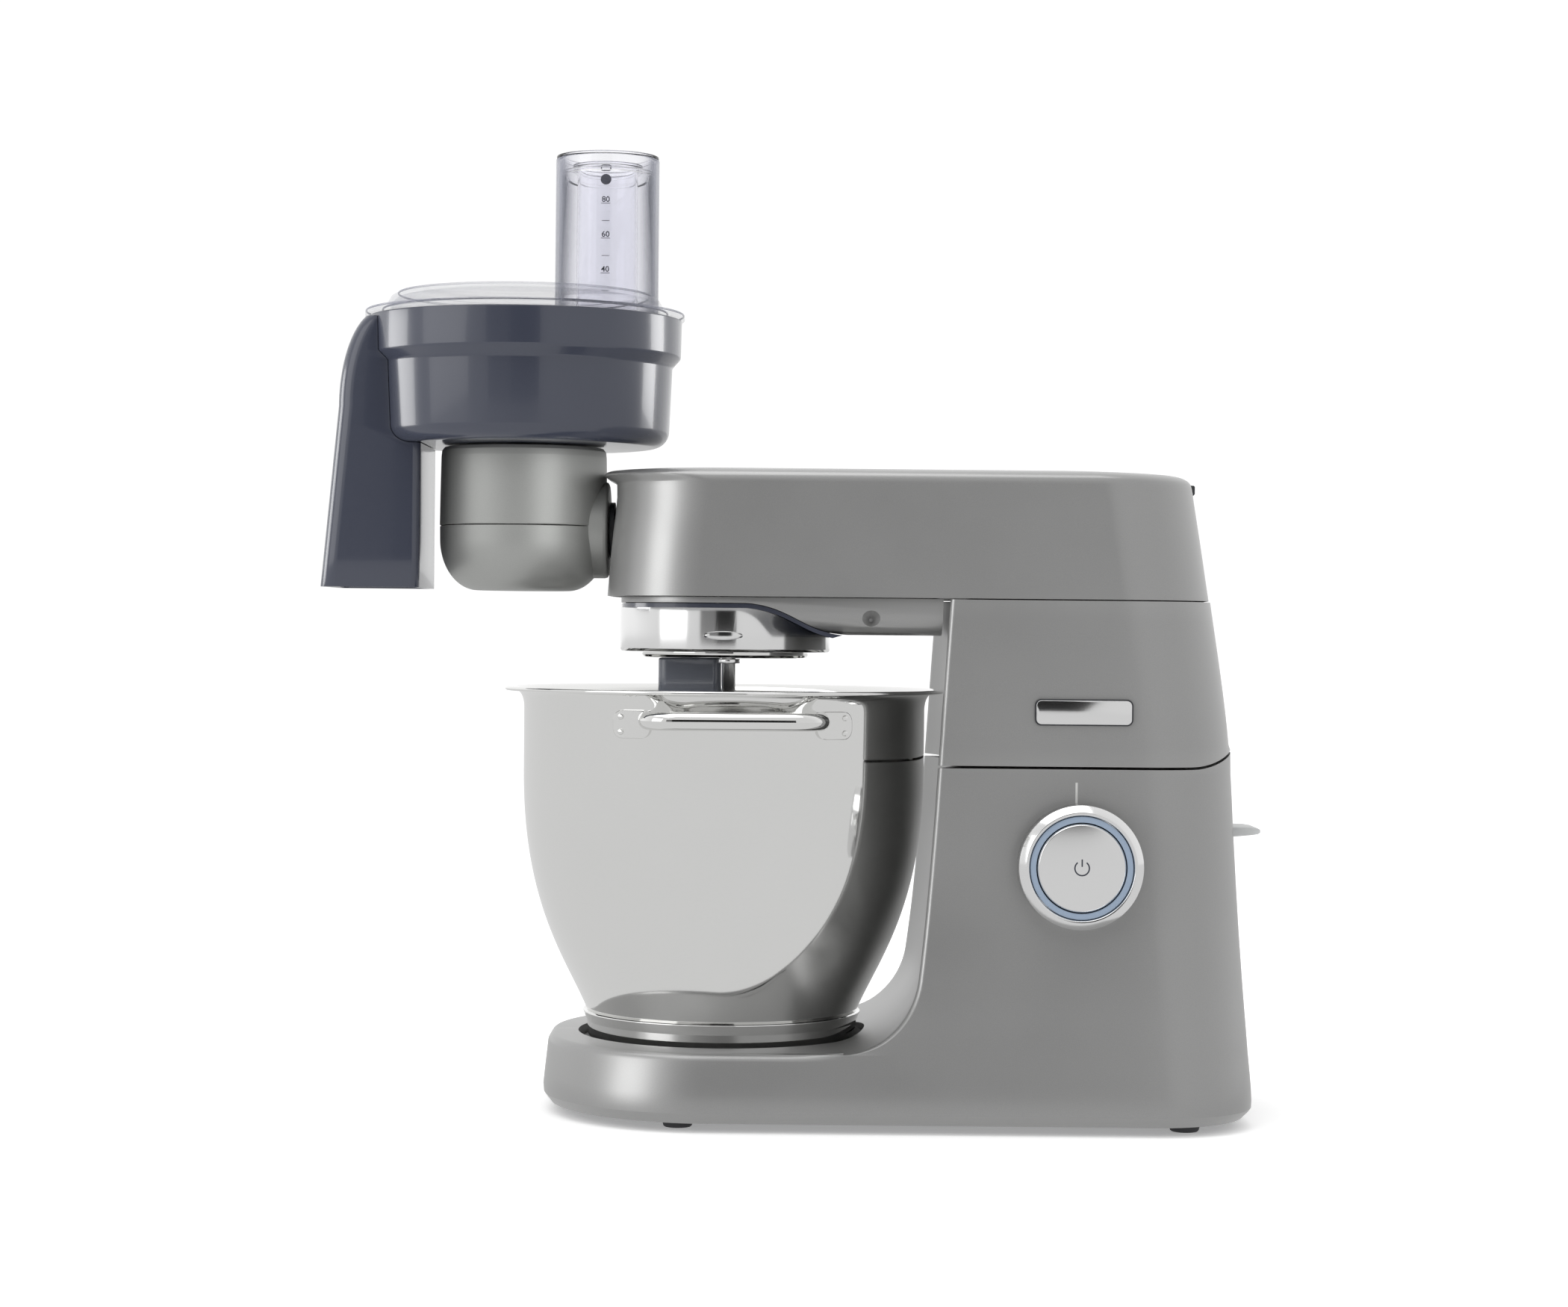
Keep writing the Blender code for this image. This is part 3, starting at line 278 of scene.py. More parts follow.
def skinned(name, rings, closed=True):
    """A circle extruded from outline to outline; closed keeps a face over its two ends."""
    activate(None)
    fill = "NGON" if closed else "NOTHING"
    bpy.ops.mesh.primitive_circle_add(vertices=len(rings[0]), radius=0.01, fill_type=fill)
    piece = bpy.context.object
    piece.name = name
    mesh = piece.data
    bpy.ops.object.mode_set(mode="EDIT")
    bpy.ops.mesh.select_all(action="SELECT")
    bm = bmesh.from_edit_mesh(mesh)
    place = bm.verts.layers.int.new("place")
    bm.verts.ensure_lookup_table()
    for i, vert in enumerate(bm.verts):
        vert[place] = i
    bmesh.update_edit_mesh(mesh)
    for number, ring in enumerate(rings):
        if number:
            bpy.ops.mesh.extrude_region_move()
        bm = bmesh.from_edit_mesh(mesh)
        place = bm.verts.layers.int["place"]
        for vert in bm.verts:
            if vert.select:
                vert.co = ring[vert[place]]
        bmesh.update_edit_mesh(mesh)
    close_skin(piece)
    mesh.attributes.remove(mesh.attributes["place"])
    return piece


def prism_z(name, outline, low, high):
    return skinned(name, [[(x, y, z) for x, y in outline] for z in (low, high)])


def prism_y(name, outline, low, high):
    return skinned(name, [[(x, y, z) for x, z in outline] for y in (low, high)])


def rod(name, radius, low, high, centre, axis="Z", steps=None):
    """A round bar; low and high are measured along its axis from the centre."""
    return turned(name, [(0, low), (radius, low), (radius, high), (0, high)], centre, axis, steps)


def block(name, low, high):
    return prism_z(name, rectangle(low[0], high[0], low[1], high[1]), low[2], high[2])


def apply_modifier(piece, kind, **values):
    modifier = piece.modifiers.new("step", kind)
    for key, value in values.items():
        setattr(modifier, key, value)
    activate(piece)
    bpy.ops.object.modifier_apply(modifier=modifier.name)
    return piece


def combine(piece, operation, *tools):
    """Cuts, joins or intersects a piece with others, which are used up."""
    for tool in tools:
        apply_modifier(piece, "BOOLEAN", operation=operation, object=tool, solver="EXACT")
        bpy.data.objects.remove(tool)
    return piece


def cut(piece, *tools):
    return combine(piece, "DIFFERENCE", *tools)


def join(piece, *tools):
    return combine(piece, "UNION", *tools)


def hollow(piece, thickness):
    """Gives an open skin its wall, inwards."""
    return apply_modifier(piece, "SOLIDIFY", thickness=thickness, offset=-1.0, use_quality_normals=True)


def soften(piece, width=None, segments=2, angle=40):
    """Rounds a piece's sharp edges."""
    return apply_modifier(piece, "BEVEL", width=width or sizes().edge, segments=segments, limit_method="ANGLE",
                          angle_limit=radians(angle), use_clamp_overlap=True, miter_outer="MITER_ARC")


def duplicate(piece, name):
    copy = piece.copy()
    copy.data = piece.data.copy()
    copy.name = name
    bpy.context.scene.collection.objects.link(copy)
    return copy


def merged(name, *pieces):
    """Several separate shapes kept as one piece."""
    activate(pieces[0])
    for piece in pieces:
        piece.select_set(True)
    bpy.ops.object.join()
    pieces[0].name = name
    return pieces[0]


def place(piece, body, material, slot, *nodes, sharp=32):
    """Smooths a finished piece, gives it its finish, hangs it on its body and hides the frame parts it stands for."""
    if not piece.data.polygons:
        raise RuntimeError(piece.name + " came out empty")
    activate(piece)
    bpy.ops.object.shade_smooth_by_angle(angle=radians(sharp))
    piece.data.materials.clear()
    piece.data.materials.append(material)
    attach(piece, body)
    if nodes:
        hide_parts(*nodes)
    return piece


# ---------------------------------------------------------------- finishes
def link_chain(tree, *nodes):
    for (a, out), (b, into) in zip(nodes[::2], nodes[1::2]):
        tree.links.new(a.outputs[out], b.inputs[into])


def finish_group():
    """Shared node group: colour drift, fine grain and rubbed edges over any base colour."""
    name = "Mixer finish"
    if name in bpy.data.node_groups:
        return bpy.data.node_groups[name]
    group = bpy.data.node_groups.new(name, "ShaderNodeTree")
    inputs = [("Colour", "NodeSocketColor", (0.5, 0.5, 0.5, 1)), ("Edge Colour", "NodeSocketColor", (0.7, 0.7, 0.7, 1)),
              ("Edge Amount", "NodeSocketFloat", 0.3), ("Roughness", "NodeSocketFloat", 0.4),
              ("Roughness Spread", "NodeSocketFloat", 0.1), ("Grain Scale", "NodeSocketFloat", 1500.0),
              ("Grain Amount", "NodeSocketFloat", 0.05), ("Drift Scale", "NodeSocketFloat", 14.0),
              ("Drift Amount", "NodeSocketFloat", 0.06), ("Stretch", "NodeSocketVector", (1, 1, 1))]
    for label, kind, value in inputs:
        group.interface.new_socket(label, in_out="INPUT", socket_type=kind).default_value = value
    for label, kind in (("Colour", "NodeSocketColor"), ("Roughness", "NodeSocketFloat"), ("Height", "NodeSocketFloat")):
        group.interface.new_socket(label, in_out="OUTPUT", socket_type=kind)
    new = group.nodes.new
    start, end = new("NodeGroupInput"), new("NodeGroupOutput")
    where, geometry = new("ShaderNodeTexCoord"), new("ShaderNodeNewGeometry")
    stretch = new("ShaderNodeVectorMath")
    stretch.operation = "MULTIPLY"
    grain, drift = new("ShaderNodeTexNoise"), new("ShaderNodeTexNoise")
    grain.inputs["Detail"].default_value = 2.0
    drift.inputs["Detail"].default_value = 4.0
    link = group.links.new
    link(where.outputs["Object"], stretch.inputs[0])
    link(start.outputs["Stretch"], stretch.inputs[1])
    link(stretch.outputs["Vector"], grain.inputs["Vector"])
    link(where.outputs["Object"], drift.inputs["Vector"])
    link(start.outputs["Grain Scale"], grain.inputs["Scale"])
    link(start.outputs["Drift Scale"], drift.inputs["Scale"])

    def maths(operation, a, b):
        node = new("ShaderNodeMath")
        node.operation = operation
        for socket, value in zip(node.inputs, (a, b)):
            if isinstance(value, float):
                socket.default_value = value
            else:
                link(value, socket)
        return node.outputs[0]

    def scaled(noise, amount):
        """A multiplier round one: 1 + (noise - 0.5) x 2 x amount."""
        return maths("ADD", maths("MULTIPLY", maths("SUBTRACT", noise, 0.5), maths("MULTIPLY", amount, 2.0)), 1.0)

    shade = maths("MULTIPLY", scaled(grain.outputs["Fac"], start.outputs["Grain Amount"]),
                  scaled(drift.outputs["Fac"], start.outputs["Drift Amount"]))
    tinted = new("ShaderNodeVectorMath")
    tinted.operation = "SCALE"
    link(start.outputs["Colour"], tinted.inputs[0])
    link(shade, tinted.inputs["Scale"])
    edges = new("ShaderNodeMapRange")
    edges.inputs["From Min"].default_value = 0.53
    edges.inputs["From Max"].default_value = 0.62
    link(geometry.outputs["Pointiness"], edges.inputs["Value"])
    worn = maths("MULTIPLY", maths("MULTIPLY", edges.outputs["Result"], drift.outputs["Fac"]),
                 start.outputs["Edge Amount"])
    mix = new("ShaderNodeMix")
    mix.data_type = "RGBA"
    link(worn, mix.inputs["Factor"])
    link(tinted.outputs["Vector"], mix.inputs["A"])
    link(start.outputs["Edge Colour"], mix.inputs["B"])
    link(mix.outputs["Result"], end.inputs["Colour"])
    spread = maths("MULTIPLY", maths("SUBTRACT", drift.outputs["Fac"], 0.5), start.outputs["Roughness Spread"])
    fine = maths("MULTIPLY", maths("SUBTRACT", grain.outputs["Fac"], 0.5), start.outputs["Roughness Spread"])
    link(maths("ADD", start.outputs["Roughness"], maths("ADD", spread, fine)), end.inputs["Roughness"])
    link(grain.outputs["Fac"], end.inputs["Height"])
    return group


def finish(name, colour, roughness, metallic=0.0, bump=0.1, depth=0.00002, sockets=None, **inputs):
    """A material with the shared group's colour, roughness and height feeding one shader."""
    if name in bpy.data.materials:
        return bpy.data.materials[name]
    material = bpy.data.materials.new(name)
    material.use_nodes = True
    tree = material.node_tree
    shader = tree.nodes["Principled BSDF"]
    group = tree.nodes.new("ShaderNodeGroup")
    group.node_tree = finish_group()
    group.inputs["Colour"].default_value = (*colour, 1)
    group.inputs["Edge Colour"].default_value = (*[min(1.0, c * 1.6 + 0.02) for c in colour], 1)
    group.inputs["Roughness"].default_value = roughness
    for label, value in inputs.items():
        group.inputs[label.replace("_", " ").title()].default_value = value
    lift = tree.nodes.new("ShaderNodeBump")
    lift.inputs["Strength"].default_value = bump
    lift.inputs["Distance"].default_value = depth
    tree.links.new(group.outputs["Colour"], shader.inputs["Base Color"])
    tree.links.new(group.outputs["Roughness"], shader.inputs["Roughness"])
    tree.links.new(group.outputs["Height"], lift.inputs["Height"])
    tree.links.new(lift.outputs["Normal"], shader.inputs["Normal"])
    shader.inputs["Metallic"].default_value = metallic
    for label, value in (sockets or {}).items():
        shader.inputs[label].default_value = value
    return material


def silver_paint():
    return finish("silver paint", colours().paint, 0.36, 0.62, bump=0.25, grain_scale=2600.0, grain_amount=0.10,
                  roughness_spread=0.10, drift_amount=0.03, edge_amount=0.25,
                  sockets={"Coat Weight": 0.25, "Coat Roughness": 0.25})


def titanium_paint():
    return finish("titanium paint", colours().titanium, 0.47, 0.60, bump=0.2, grain_scale=2400.0, grain_amount=0.09,
                  roughness_spread=0.10, drift_amount=0.03, edge_amount=0.25)


def slate_plastic():
    return finish("slate plastic", colours().slate, 0.20, 0.0, bump=0.06, grain_scale=900.0, grain_amount=0.03,
                  roughness_spread=0.06, drift_amount=0.05, edge_amount=0.2,
                  sockets={"Coat Weight": 0.35, "Coat Roughness": 0.06, "Specular IOR Level": 0.55})


# Painted light: the tool block's colour is lifted about threefold to make up for the shade the hub and bowl cast on it.
def tool_plastic_with_painted_light():
    return finish("tool plastic with painted light", (0.200, 0.215, 0.255), 0.16, 0.0, bump=0.05, grain_scale=900.0, grain_amount=0.03,
                  roughness_spread=0.06, drift_amount=0.08, edge_amount=0.2, sockets={"Coat Weight": 0.4})


def polished_steel():
    return finish("polished steel", colours().steel, 0.060, 1.0, bump=0.03, grain_scale=420.0, grain_amount=0.02,
                  stretch=(1, 1, 9), roughness_spread=0.035, drift_amount=0.02, edge_amount=0.15)


def chrome():
    return finish("chrome", colours().chrome, 0.028, 1.0, bump=0.02, grain_scale=700.0, grain_amount=0.015,
                  roughness_spread=0.03, drift_amount=0.02, edge_amount=0.1)


def dark_plastic():
    return finish("dark plastic", (0.022, 0.024, 0.029), 0.42, 0.0, bump=0.2, grain_scale=1400.0, grain_amount=0.08,
                  roughness_spread=0.12, edge_amount=0.25)


def rubber():
    return finish("rubber", (0.035, 0.036, 0.040), 0.72, 0.0, bump=0.4, grain_scale=1100.0, grain_amount=0.15,
                  roughness_spread=0.15, edge_amount=0.2)


def machined_steel():
    return finish("machined steel", (0.42, 0.42, 0.41), 0.34, 1.0, bump=0.15, grain_scale=500.0, stretch=(1, 1, 6),
                  grain_amount=0.08, roughness_spread=0.12, edge_amount=0.35)


def copper_winding():
    return finish("copper winding", (0.50, 0.22, 0.10), 0.38, 1.0, bump=0.5, depth=0.0001, grain_scale=260.0,
                  stretch=(1, 1, 5), grain_amount=0.25, roughness_spread=0.15, edge_amount=0.2)


def light_ring_plastic():
    return finish("light ring plastic", colours().light, 0.30, 0.0, bump=0.05, grain_scale=900.0, grain_amount=0.03,
                  roughness_spread=0.05, edge_amount=0.1)


def lever_plastic():
    return finish("lever plastic", (0.50, 0.51, 0.51), 0.36, 0.0, bump=0.1, grain_scale=1200.0, grain_amount=0.04,
                  roughness_spread=0.08, edge_amount=0.15)


def mark_ink(name, colour):
    return finish(name, colour, 0.45, 0.0, bump=0.1, grain_scale=2000.0, grain_amount=0.06, roughness_spread=0.08,
                  edge_amount=0.0)


def clear_shell(name="clear shell", densest=0.85):
    """Clear moulded plastic whose edges read denser than its faces."""
    material = finish(name, colours().clear, 0.03, 0.0, bump=0.0, grain_scale=60.0, grain_amount=0.02,
                      roughness_spread=0.02, drift_amount=0.05, edge_amount=0.1, sockets={"IOR": 1.49})
    tree = material.node_tree
    if "edge density" not in tree.nodes:
        facing = tree.nodes.new("ShaderNodeLayerWeight")
        facing.inputs["Blend"].default_value = 0.50
        density = tree.nodes.new("ShaderNodeMapRange")
        density.name = "edge density"
        density.interpolation_type = "SMOOTHSTEP"
        density.inputs["From Min"].default_value = 0.15
        density.inputs["To Min"].default_value = 0.05
        density.inputs["To Max"].default_value = densest
        tree.links.new(facing.outputs["Facing"], density.inputs["Value"])
        tree.links.new(density.outputs["Result"], tree.nodes["Principled BSDF"].inputs["Alpha"])
    return material


def clear_core():
    """Clear plastic that bends the light passing through it."""
    return finish("clear core", (0.95, 0.95, 0.98), 0.0, 0.0, bump=0.0, grain_scale=40.0, grain_amount=0.01,
                  roughness_spread=0.01, drift_amount=0.02, edge_amount=0.0,
                  sockets={"Transmission Weight": 1.0, "IOR": 1.42})


# ---------------------------------------------------------------- the body's outline
def column_front():
    """Crease of the column's front: a fillet out of the tongue, then a slow S."""
    fillet = arc((SHOULDER_X, TONGUE_TOP + 0.0460), 0.0460, -90, -8, 16)
    return fillet + bezier(fillet[-1], (0.0775, 0.125), (0.0790, 0.190), (0.0870, 0.310), 22)[1:]


def crease_x(z):
    line = column_front()
    for (x0, z0), (x1, z1) in zip(line, line[1:]):
        if z <= z1:
            return x0 + (x1 - x0) * max(0.0, z - z0) / (z1 - z0)
    return line[-1][0]


def rear_path(start_x, half, rear):
    """The outline from the far side's front end, round the rear, to the near side's front end."""
    turn = rear - REAR_RADIUS
    far = between((start_x, half), (turn, half), 12)
    far += arc((turn, half - REAR_RADIUS), REAR_RADIUS, 90, 0, 18)[:-1]
    across = between((rear, half - REAR_RADIUS), (rear, REAR_RADIUS - half), 8)
    near = arc((turn, REAR_RADIUS - half), REAR_RADIUS, 0, -90, 18)
    return far + across + near + between((turn, -half), (start_x, -half), 12)[1:]


def tongue_ring(z, inset=0.0):
    """Outline of the base; an inset rounds its top edge, fading out towards the column."""
    half, rear = at_level(BODY_LEVELS, z)
    front = TONGUE_FRONT + 0.0045 * max(0.0, (0.012 - z) / 0.007) + 0.003 * max(0.0, (z - 0.012) / 0.032)
    nose = min(TONGUE_RADIUS, half - 0.005)
    start_x = SHOULDER_X + sizes().crease

    def pulled(x):
        share = max(0.0, min(1.0, (start_x - x) / 0.030))
        return inset * share * share * (3 - 2 * share)

    near = [(x, pulled(x) - half) for x, _ in between((start_x, 0), (front + nose, 0), 10)]
    bend = arc((front + nose, nose - half), nose - inset, 270, 180, 26)
    side = near + bend + between(bend[-1], (bend[-1][0], 0), 4)[1:] + [(bend[-1][0], 0)]
    mirrored = [(x, -y) for x, y in side[::-1]][1:]
    return [(x, y, z) for x, y in side + mirrored + rear_path(start_x, half, rear)[1:-1]]


def column_ring(z):
    """Outline of the column, with its hollowed front and softened creases."""
    half, rear = at_level(BODY_LEVELS, z)
    soft = sizes().crease
    crease = crease_x(z)
    depth = 0.0165 * min(1.0, max(0.0, z - 0.05) / 0.12) ** 0.8
    bow = (0.09 ** 2 + depth ** 2) / (2 * depth) if depth > 0.0001 else 1000.0

    def front(y):
        return crease + depth - (bow - sqrt(bow * bow - y * y))

    edge = front(half - soft)
    near = arc((edge + soft, soft - half), soft, 270, 180, 10)[:-1]
    curve = [(front(y), y) for _, y in between((0, soft - half), (0, 0), 30)] + [(front(0), 0)]
    side = near + curve
    mirrored = [(x, -y) for x, y in side[::-1]][1:]
    return [(x, y, z) for x, y in side + mirrored + rear_path(edge + soft, half, rear)[1:-1]]


def split_height(x, radius, level):
    """Height of the split: level, then an arc about the tilt axis behind it."""
    behind = x - PIVOT_X
    return PIVOT_Z - sqrt(radius * radius - behind * behind) if behind > 0 else level


def split_ring(level):
    radius = PIVOT_Z - level
    return [(x, y, split_height(x, radius, level)) for x, y, _ in column_ring(level)]


def cap_deck(piece, ring):
    """Closes the column's top: one level face, then strips across the curved rear."""
    activate(piece)
    bpy.ops.object.mode_set(mode="EDIT")
    bm = bmesh.from_edit_mesh(piece.data)
    found = {tuple(round(c, 5) for c in vert.co): vert for vert in bm.verts}
    verts = [found[tuple(round(c, 5) for c in Vector(point))] for point in ring]
    curved = [i for i, point in enumerate(ring) if point[0] > PIVOT_X]
    first, last = curved[0] - 1, curved[-1] + 1
    bm.faces.new([verts[i] for i in range(len(ring)) if i <= first or i >= last])
    while last - first > 2:
        bm.faces.new((verts[first], verts[first + 1], verts[last - 1], verts[last]))
        first, last = first + 1, last - 1
    bmesh.update_edit_mesh(piece.data)
    return close_skin(piece)


# ---------------------------------------------------------------- operators
class MIXER_OT_base(Operator):
    """Base, bowl seat's well and column up to the split line"""
    bl_idname = "mixer.base"
    bl_label = "Base and column"

    def execute(self, context):
        rounding = sizes().tongue_edge
        rings = [tongue_ring(z) for z in (0.0050, 0.0065, 0.0085, 0.0110, 0.0150, 0.0220, 0.0300, 0.0360)]
        for step in range(9):
            turn = radians(90 * step / 8)
            rings.append(tongue_ring(TONGUE_TOP - rounding * (1 - sin(turn)), rounding * (1 - cos(turn))))
        heights = [z for _, z in column_front() if TONGUE_TOP <= z < 0.196] + [0.1985]
        rings += [column_ring(z) for z in heights]
        deck = split_ring(DECK_Z)
        body = skinned("mixer_base", rings + [deck], closed=False)
        cap_deck(body, deck)
        hollow(body, sizes().wall)
        pad = rod("pad", 0.0330, -0.0875, -0.0945, (KNOB.x, 0, KNOB.z), "Y", 96)
        well = rod("well", 0.0872, 0.0330, TONGUE_TOP - 0.0010, (BOWL_X, 0, 0))
        join(body, well, pad)
        seat = rod("seat", 0.0838, 0.0360, 0.0600, (BOWL_X, 0, 0))
        button_hole = rod("hole", 0.0112, -0.12, -0.07, (KNOB.x, 0, KNOB.z), "Y", 48)
        slot = rounded(rectangle(-0.0215, 0.0215, 0.1585, 0.1785), 0.0030, 5)
        lever_slot = skinned("slot", [[(x, y, z) for y, z in slot] for x in (0.244, 0.275)])
        striker_slot = block("striker", (0.1030, -0.0110, 0.19), (0.1290, 0.0110, 0.21))
        cut(body, seat, button_hole, lever_slot, striker_slot)
        place(body, "base", silver_paint(), "silver_paint", "base_housing", sharp=30)
        self.index_line()
        return {"FINISHED"}

    def index_line(self):
        """A pale raised mark above the dial, lying on the leaning side."""
        rings = []
        for z in (0.1830, 0.1890, 0.1947):
            half = at_level(BODY_LEVELS, z)[0]
            rings.append([(KNOB.x - 0.0015 + dx, dy - half, z) for dx, dy in
                          rounded(rectangle(-0.00065, 0.00065, -0.00012, 0.0008), 0.0001, 2)])
        line = skinned("index_line", rings)
        place(line, "base", mark_ink("pale ink", (0.55, 0.55, 0.54)), "silver_paint")


class MIXER_OT_middle(Operator):
    """The part of the column that tilts with the head, and its blank badge"""
    bl_idname = "mixer.middle"
    bl_label = "Middle section"

    def execute(self, context):
        heights = [0.2150, 0.2250, 0.2350, 0.2450, 0.2550, 0.2650, 0.2750, 0.2850, MID_TOP]
        body = skinned("mixer_middle", [split_ring(MID_LOW)] + [column_ring(z) for z in heights], closed=False)
        hollow(body, sizes().wall)
        place(body, "head", silver_paint(), "silver_paint", "mid_housing", sharp=30)
        self.badge()
        return {"FINISHED"}

    def badge(self):
        """A plain plate with a raised rim, set in a dark frame."""
        outer = rectangle(0.1358, 0.1908, 0.2265, 0.2413)
        face = -0.0896
        ring = prism_y("badge_frame", rounded(outer, 0.0035, 8), face + 0.0010, face)
        place(ring, "head", dark_plastic(), "dark_plastic")
        plate = prism_y("badge_blank", rounded(rectangle(0.1366, 0.1900, 0.2272, 0.2406), 0.0029, 8), -0.0903, -0.0890)
        activate(plate)
        bpy.ops.object.mode_set(mode="EDIT")
        bpy.ops.mesh.select_all(action="DESELECT")
        bm = bmesh.from_edit_mesh(plate.data)
        for side in bm.faces:
            side.select = side.normal.y < -0.9 and side.calc_center_median().y < -0.0902
        bm.select_flush(True)
        bmesh.update_edit_mesh(plate.data)
        bpy.ops.mesh.inset(thickness=0.0011, depth=0.0)
        bpy.ops.mesh.inset(thickness=0.0006, depth=-0.0006)
        bpy.ops.object.mode_set(mode="OBJECT")
        soften(plate, 0.00025, 3)
        place(plate, "head", chrome(), "chrome", "badge_plate")


def head_skin(name):
    """The head's outside, open below, with a crowned top and a narrow ring round its level part."""
    heights = [0.2972, 0.3050, 0.3150, 0.3250, 0.3350, 0.3450, 0.3540, 0.3590]
    shoulder, top = 0.3615, HEAD_LEVELS[-1][0]
    heights += [shoulder + (top - shoulder) * sin(radians(90 * k / 16)) for k in range(17)]
    rings = []
    for z in heights:
        half, front, rear = at_level(HEAD_LEVELS, z)
        radius = min(0.055, half - 0.010)
        outline = rounded(rectangle(front, rear, -half, half), radius, 18)
        rings.append([(x, y, z) for x, y in outline])
    skin = skinned(name, rings, closed=False)
    activate(skin)
    bpy.ops.object.mode_set(mode="EDIT")
    bpy.ops.mesh.select_all(action="DESELECT")
    bm = bmesh.from_edit_mesh(skin.data)
    crown = HEAD_LEVELS[-1][0] - 0.00001
    for edge in bm.edges:
        edge.select = all(vert.co.z > crown for vert in edge.verts)
    bmesh.update_edit_mesh(skin.data)
    bpy.ops.mesh.edge_face_add()
    bpy.ops.mesh.inset(thickness=0.0030, depth=0.0)
    close_skin(skin)
    return hollow(skin, sizes().wall)


class MIXER_OT_head(Operator):
    """Head casting, rear outlet cover and its tab"""
    bl_idname = "mixer.head"
    bl_label = "Head"

    def execute(self, context):
        shell = head_skin("mixer_head")
        cover = duplicate(shell, "rear_outlet_cover")
        corners = [(0.1500, -0.0360), (0.3000, -0.0360), (0.3000, 0.0360), (0.1500, 0.0360)]
        lid = prism_z("lid", rounded(corners, [0.010, 0, 0, 0.010], 8), 0.3560, 0.4)
        combine(cover, "INTERSECT", lid)
        wide = [(0.1496, -0.0364), (0.3000, -0.0364), (0.3000, 0.0364), (0.1496, 0.0364)]
        opening = prism_z("opening", rounded(wide, [0.0104, 0, 0, 0.0104], 8), 0.3556, 0.4)
        socket_hole = rod("hole", 0.0200, -0.13, -0.09, (0, 0, OUTLET_Z), "X", 64)
        cut(shell, opening, socket_hole)
        soften(shell, 0.0004, 2, 50)
        soften(cover, 0.0004, 2, 50)
        place(shell, "head", silver_paint(), "silver_paint", "head_shell")
        apply_modifier(shell, "WEIGHTED_NORMAL", keep_sharp=True)
        place(cover, "cover", silver_paint(), "silver_paint", "outlet_cover")
        tab = rounded([(0.2285, 0.3575), (0.2318, 0.3575), (0.2345, 0.3600), (0.2345, 0.3650), (0.2285, 0.3655)],
                      0.0010, 4)
        tab = prism_y("cover_tab", tab, -0.0090, 0.0090)
        soften(tab, 0.0005, 3)
        place(tab, "cover", dark_plastic(), "dark_plastic", "outlet_cover_tab")
        return {"FINISHED"}


def belly_line(drop):
    """Underside of the head's casting: level over the hub, then down to the belly."""
    slope = bezier((-0.0260, 0.2935), (0.0000, 0.2915), (0.0060, 0.2770), (0.0310, 0.2760), 24)
    return [(x, z - drop) for x, z in [(-0.0950, 0.2935)] + slope]


class MIXER_OT_underside(Operator):
    """Casting under the head, its dark trim and the screw recess"""
    bl_idname = "mixer.underside"
    bl_label = "Underside"

    def execute(self, context):
        top = HEAD_LOW - 0.0004
        plan = rounded(rectangle(-0.0990, 0.0960, -0.0815, 0.0815), [0.050, 0.003, 0.003, 0.050], 20)
        side = [(-0.1500, top), (-0.1500, 0.2935)] + belly_line(0)[1:]
        side += [(0.0840, 0.2760), (0.0845, top)]
        casting = prism_y("head_casting", side, -0.2, 0.2)
        combine(casting, "INTERSECT", prism_z("plan", plan, 0.2, 0.3))
        section = rounded(rectangle(-0.0815, 0.0815, 0.2760, 0.3300), [0.0130, 0.0130, 0.003, 0.003], 16)
        combine(casting, "INTERSECT", skinned("tub", [[(x, y, z) for y, z in section] for x in (-0.2, 0.2)]))
        well = rod("well", HUB_RADIUS + 0.0008, 0.20, 0.35, (BOWL_X, 0, 0))
        recess = turned("recess", [(0, -0.0830), (0.0064, -0.0830), (0.0052, -0.0810), (0.0010, -0.0745),
                                   (0, -0.0745)], (0.0440, 0, 0.2845), "Y", 32)
        cut(casting, well, recess)
        soften(casting, 0.0022, 4, 50)
        place(casting, "head", silver_paint(), "silver_paint", "head_underside")
        lower = [(x, z) for x, z in belly_line(0.0028) if x < 0.0250]
        upper = [(x, z) for x, z in belly_line(0.0004) if x < 0.0280]
        strip = [(-0.1500, 0.2931), (-0.1500, 0.2909)] + lower + upper[::-1][:-1]
        trim = prism_y("head_trim", strip, -0.2, 0.2)
        trim_plan = rounded(rectangle(-0.0985, 0.0960, -0.0790, 0.0790), [0.049, 0.003, 0.003, 0.049], 20)
        combine(trim, "INTERSECT", prism_z("plan", trim_plan, 0.2, 0.3))
        cut(trim, rod("well", HUB_RADIUS + 0.0008, 0.20, 0.35, (BOWL_X, 0, 0)))
        place(trim, "head", slate_plastic(), "slate_plastic", "underside_trim")
        return {"FINISHED"}


